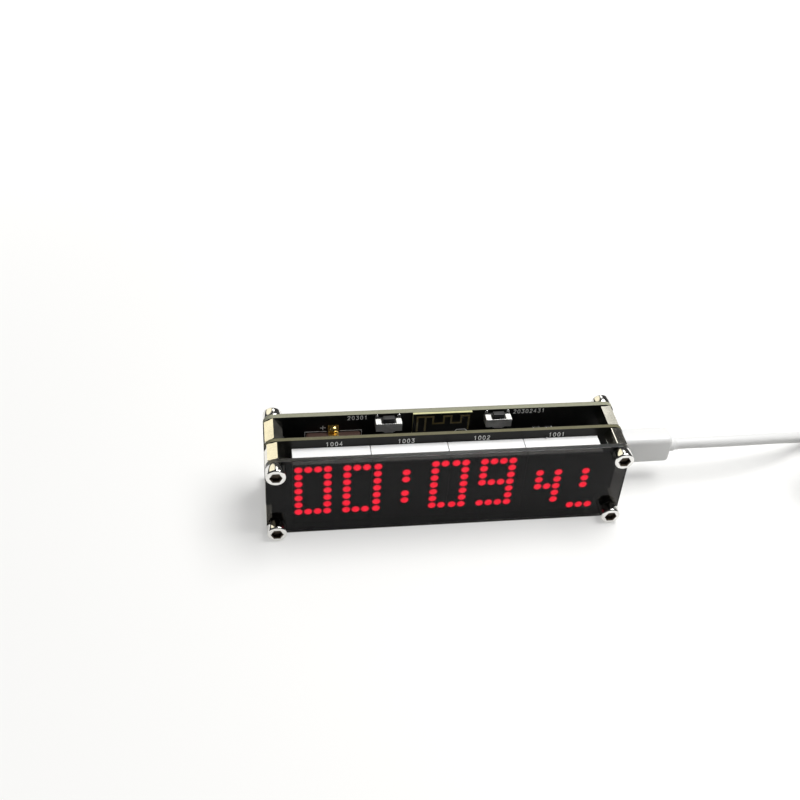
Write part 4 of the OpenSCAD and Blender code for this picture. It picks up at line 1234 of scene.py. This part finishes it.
def main_board_copper():
    """Tracks on the rear of the main board: buses from the header, and fans towards the radio, the
    socket and the switches, with vias at their ends, strewn between them and along both long edges,
    and a row of vias on the front."""
    rear = MAIN_BOARD[1][1]
    front = MAIN_BOARD[0][1]
    parts = []
    header_x = (HEADER_PINS[0][0][0] + HEADER_PINS[0][1][0]) / 2
    bus_end = -8.6
    for lane, (low, high) in enumerate(HEADER_PINS):
        z = (low[2] + high[2]) / 2
        target = MIDDLE_Z - 1.6 + lane * 0.8
        start = header_x + 1.6 + 0.6 * abs(lane - 2)
        route = [(header_x, z), (start, z), (start + abs(z - target), target), (-19 + lane, target),
                 (-16 + lane, target + 3), (bus_end, target + 3)]
        parts.append(ribbon(route, 0.3, rear, TRACK_H, 1))
        parts.append(via(bus_end, target + 3, rear, 1))
    fan_start = 9.2
    for lane in range(6):
        z = 6.0 + lane * 0.75
        route = [(fan_start, z + 4), (12 + lane * 0.5, z + 4), (16 + lane * 0.5, z), (33 - lane, z),
                 (35.5 - lane, z + 2.5), (40.5, z + 2.5)]
        parts.append(ribbon(route, 0.28, rear, TRACK_H, 1))
        parts.append(via(fan_start, z + 4, rear, 1))
    for side in (-1, 1):
        for lane in range(3):
            x = side * (14.85 + (lane - 1) * 1.6)
            knee = 20.2 - lane * 0.6
            route = [(x, 23.4), (x, knee), (x - side * 3, knee - 3), (side * 6, knee - 3)]
            parts.append(ribbon(route, TRACK_W, rear, TRACK_H, 1))
    rng = np.random.default_rng(11)
    places = [*zip(np.linspace(-36, 37, 44), rng.uniform(3.2, 22.2, 44))]
    places += [(x, z) for x in np.arange(-38, 40, 3.1) for z in (24.35, 1.15)]
    parts += [via(x, z, rear, 1) for x, z in places]
    parts += [via(x, 21.5, front, -1) for x in (-22.5, -20.9, 17.8, 20.4, 33, 41)]
    return parts


piece("led_board_copper", led_board_copper(), BOARD_SKINS["led_board"])
piece("main_board_copper", main_board_copper(), BOARD_SKINS["main_board"])

# Strokes of the plain numbers, on a grid 2 wide and 4 high
STROKES = {
    "0": [[(0, 1), (0, 3), (0.6, 4), (1.4, 4), (2, 3), (2, 1), (1.4, 0), (0.6, 0), (0, 1)]],
    "1": [[(0.3, 3.2), (1.1, 4), (1.1, 0)]],
    "2": [[(0, 3.2), (0.6, 4), (1.5, 4), (2, 3.3), (2, 2.7), (0, 0), (2, 0)]],
    "3": [[(0, 4), (2, 4), (1, 2.4), (1.6, 2.3), (2, 1.6), (2, 0.7), (1.4, 0), (0.5, 0), (0, 0.6)]],
    "4": [[(1.5, 0), (1.5, 4), (0, 1.2), (2, 1.2)]],
    "5": [[(2, 4), (0.1, 4), (0, 2.2), (1.3, 2.4), (2, 1.7), (2, 0.7), (1.3, 0), (0, 0.2)]],
}
PRINT_H = 0.03
NIB = 0.17
OUTLINE_W = 0.15
LETTER_STEP = 3.75


def number(text, x, z, height, face_y, toward, mirrored=False):
    """A number printed with round-nib strokes, its lower left corner at (x, z). On a rear face it is
    mirrored in X, so that it reads rightly from behind."""
    parts = []
    unit = height / 4
    turn = -1 if mirrored else 1
    for place, letter in enumerate(text):
        for stroke in STROKES[letter]:
            route = [(x + turn * unit * (u + place * LETTER_STEP), z + unit * v) for u, v in stroke]
            parts.append(ribbon(route, NIB, face_y, PRINT_H, toward))
    return parts


def frame_line(low, high, margin, face_y, toward):
    """A printed rectangle round a box, as far out from it as margin."""
    x0, z0 = low[0] - margin, low[2] - margin
    x1, z1 = high[0] + margin, high[2] + margin
    route = [(x0, z0), (x1, z0), (x1, z1), (x0, z1), (x0, z0)]
    return ribbon(route, OUTLINE_W, face_y, PRINT_H, toward)


def led_board_print():
    """Front: numbers on the strip above the modules. Rear: an outline round each driver. A small white
    mark on the radio board, where a bright spot shows, is drawn with them in the same white."""
    front = LED_BOARD[0][1]
    back = LED_BOARD[1][1]
    parts = []
    for word, x in (("1004", -31.8), ("1003", -13.0), ("1002", 7.1), ("1001", 27.35)):
        parts += number(word, x, 23.15, 1.25, front, -1)
    parts += [frame_line(low, high, 0.4, back, 1) for low, high in DRIVERS]
    # A small white mark where a bright spot shows on the radio board
    radio_mark = [(3.8, 19.1), (4.2, 19.6), (6.5, 19.6), (7.0, 19.1)]
    parts.append(ribbon(radio_mark, 0.2, RADIO[0][1], PRINT_H, -1))
    return parts


def main_board_print():
    """Front: a number beside each switch, a plus sign, and outlines round the tray and below the radio
    board. Rear: outlines and numbers."""
    front = MAIN_BOARD[0][1]
    rear = MAIN_BOARD[1][1]
    tray_low, tray_high = span("cell_holder")
    clip_low, clip_high = span("cell_clip")
    parts = number("20301", -25.4, 23.85, 1.2, front, -1)
    parts += number("20302431", 19.6, 23.85, 1.2, front, -1)
    plus_x, plus_z, arm = -32.0, 21.4, 0.7
    for across, up in ((arm, 0), (0, arm)):
        stroke = [(plus_x - across, plus_z - up), (plus_x + across, plus_z + up)]
        parts.append(ribbon(stroke, 0.18, front, PRINT_H, -1))
    beside_tray, beside_clip, leg = 0.25, 0.4, 3
    for level, end in ((tray_high[2] + beside_tray, -leg), (tray_low[2] - beside_tray, leg)):
        for outer, inner in ((tray_low[0] - beside_tray, clip_low[0] - beside_clip),
                             (tray_high[0] + beside_tray, clip_high[0] + beside_clip)):
            route = [(inner, level), (outer, level), (outer, level + end)]
            parts.append(ribbon(route, OUTLINE_W, front, PRINT_H, -1))
    radio_low, radio_high = RADIO
    foot = (radio_high[0], radio_high[1], radio_low[2] - 0.1)
    parts.append(frame_line(radio_low, foot, 0.3, front, -1))
    header_low = np.min([low for low, high in HEADER_PINS], axis=0)
    header_high = np.max([high for low, high in HEADER_PINS], axis=0)
    parts.append(frame_line(header_low, header_high, 1, rear, 1))
    for word, (low, high) in zip("12345", HEADER_PINS):
        parts += number(word, high[0] + 2.0, (low[2] + high[2]) / 2 - 0.55, 1.1, rear, 1, mirrored=True)
    parts.append(frame_line((-7.5, 0, 3.2), (7.5, 0, 21.5), 0, rear, 1))
    parts += number("32", 1.9, 11.4, 2.4, rear, 1, mirrored=True)
    parts.append(frame_line((37.5, 0, 6.6), (46.3, 0, 15.8), 0, rear, 1))
    return parts


piece("led_board_print", led_board_print(), PRINT)
piece("main_board_print", main_board_print(), PRINT)


# Floor, backdrop and light

FLOOR_DIFFUSE = 0.55
FLOOR_GLOW = 0.34
FAR_GLOW = 0.78
GLOSS_SHARE = 0.9
SKY = 0.42
LAMP_WATTS = 2.3
LAMP_AT = (0.16, 0.05, 0.42)
LAMP_SIZE = (0.34, 0.26)
ROOM_SHADE = 0.05

# Patches of the room: the direction, how near to it the edge and the full light start, and the colour
WINDOW = ((-0.42, 0.74, 0.52), 0.9, 0.945, (1.2, 1.12, 0.86, 1))
SKYLIGHT = ((0.18, 0.733, 0.657), 0.986, 0.9965, (2.3, 2.3, 2.2, 1))


def seen_by_gloss(tree):
    """The Light Path outputs of a tree and whether a ray is a reflection or comes through the acrylic."""
    paths = tree.nodes.new("ShaderNodeLightPath").outputs
    return paths, sums(tree, "MAXIMUM", paths["Is Glossy Ray"], paths["Is Transmission Ray"])


def pale_floor():
    """A wide matt sheet that keeps the shadow and shows white where it is unshaded. Its glow fades
    out under the stack, which paints a dark contact shadow there, and rises far from the clock, where the
    lamp is weak."""
    reach = 3.0
    painted_shade_half_x = (0.04, 0.05)
    painted_shade_half_y = (0.0098, 0.0106)
    painted_shade_middle_y = 0.001
    near_far = (0.07, 0.5)
    mesh = bpy.data.meshes.new("floor")
    corners = [(x * reach, y * reach, 0) for x, y in ((-1, -1), (1, -1), (1, 1), (-1, 1))]
    mesh.from_pydata(corners, [], [(0, 1, 2, 3)])
    floor = bpy.data.objects.new("floor", mesh)
    bpy.context.scene.collection.objects.link(floor)
    made = bpy.data.materials.new("pale floor")
    made.use_nodes = True
    tree = made.node_tree
    tree.nodes.clear()
    paths, gloss = seen_by_gloss(tree)
    seen = sums(tree, "MAXIMUM", paths["Is Camera Ray"], sums(tree, "MULTIPLY", gloss, GLOSS_SHARE))
    colour = (FLOOR_DIFFUSE, FLOOR_DIFFUSE * 0.995, FLOOR_DIFFUSE * 0.97, 1)
    diffuse = add_node(tree, "BsdfDiffuse", {"Color": colour})
    place = tree.nodes.new("ShaderNodeTexCoord").outputs["Object"]
    # Painted shade: the glow is taken away under the stack, as a dark contact shadow painted on the floor
    # there
    beside = ranged(tree, absolute(tree, component(tree, place, "X")), *painted_shade_half_x)
    from_middle = sums(tree, "SUBTRACT", component(tree, place, "Y"), painted_shade_middle_y)
    before = ranged(tree, absolute(tree, from_middle), *painted_shade_half_y)
    away = add_node(tree, "VectorMath", {0: place}, operation="LENGTH").outputs["Value"]
    level = ranged(tree, away, *near_far, FLOOR_GLOW, FAR_GLOW)
    outside_painted_shade = sums(tree, "MAXIMUM", beside, before)
    strength = sums(tree, "MULTIPLY", sums(tree, "MULTIPLY", seen, level), outside_painted_shade)
    glow = add_node(tree, "Emission", {"Color": (1, 1, 0.995, 1), "Strength": strength})
    both = add_node(tree, "AddShader", {0: diffuse.outputs[0], 1: glow.outputs[0]})
    add_node(tree, "OutputMaterial", {"Surface": both.outputs[0]})
    mesh.materials.append(made)


def lit_patch(tree, way, room, patch):
    """The room's colour with a soft round patch of light in it, by the dot product of the direction
    looked in and the patch's own."""
    toward, edge, full, colour = patch
    near = add_node(tree, "VectorMath", {0: way, 1: toward}, operation="DOT_PRODUCT").outputs["Value"]
    return mixed(tree, ranged(tree, near, edge, full), room, colour)


def studio_light():
    """A white surround for the camera, an even sky for matt surfaces, and for gloss a dim room with a
    warm window low at the back left and a skylight high at the back. A soft lamp gives the shadow."""
    world = bpy.data.worlds.new("studio")
    bpy.context.scene.world = world
    world.use_nodes = True
    tree = world.node_tree
    tree.nodes.clear()
    paths, gloss = seen_by_gloss(tree)
    way = tree.nodes.new("ShaderNodeTexCoord").outputs["Generated"]
    room = lit_patch(tree, way, (ROOM_SHADE, ROOM_SHADE, ROOM_SHADE, 1), WINDOW)
    room = lit_patch(tree, way, room, SKYLIGHT)
    other = mixed(tree, paths["Is Camera Ray"], (SKY, SKY, SKY * 1.01, 1), (1, 1, 1, 1))
    light = add_node(tree, "Background", {"Color": mixed(tree, gloss, other, room)})
    add_node(tree, "OutputWorld", {"Surface": light.outputs[0]})
    lamp = bpy.data.lights.new("key", "AREA")
    lamp.shape = "RECTANGLE"
    lamp.size, lamp.size_y = LAMP_SIZE
    lamp.energy = LAMP_WATTS
    key = bpy.data.objects.new("key", lamp)
    aim = (Vector((0, 0, 0.01)) - Vector(LAMP_AT)).to_track_quat("-Z", "Y")
    key.matrix_world = Matrix.Translation(LAMP_AT) @ aim.to_matrix().to_4x4()
    bpy.context.scene.collection.objects.link(key)


pale_floor()
studio_light()
bpy.context.scene.view_settings.view_transform = "Standard"
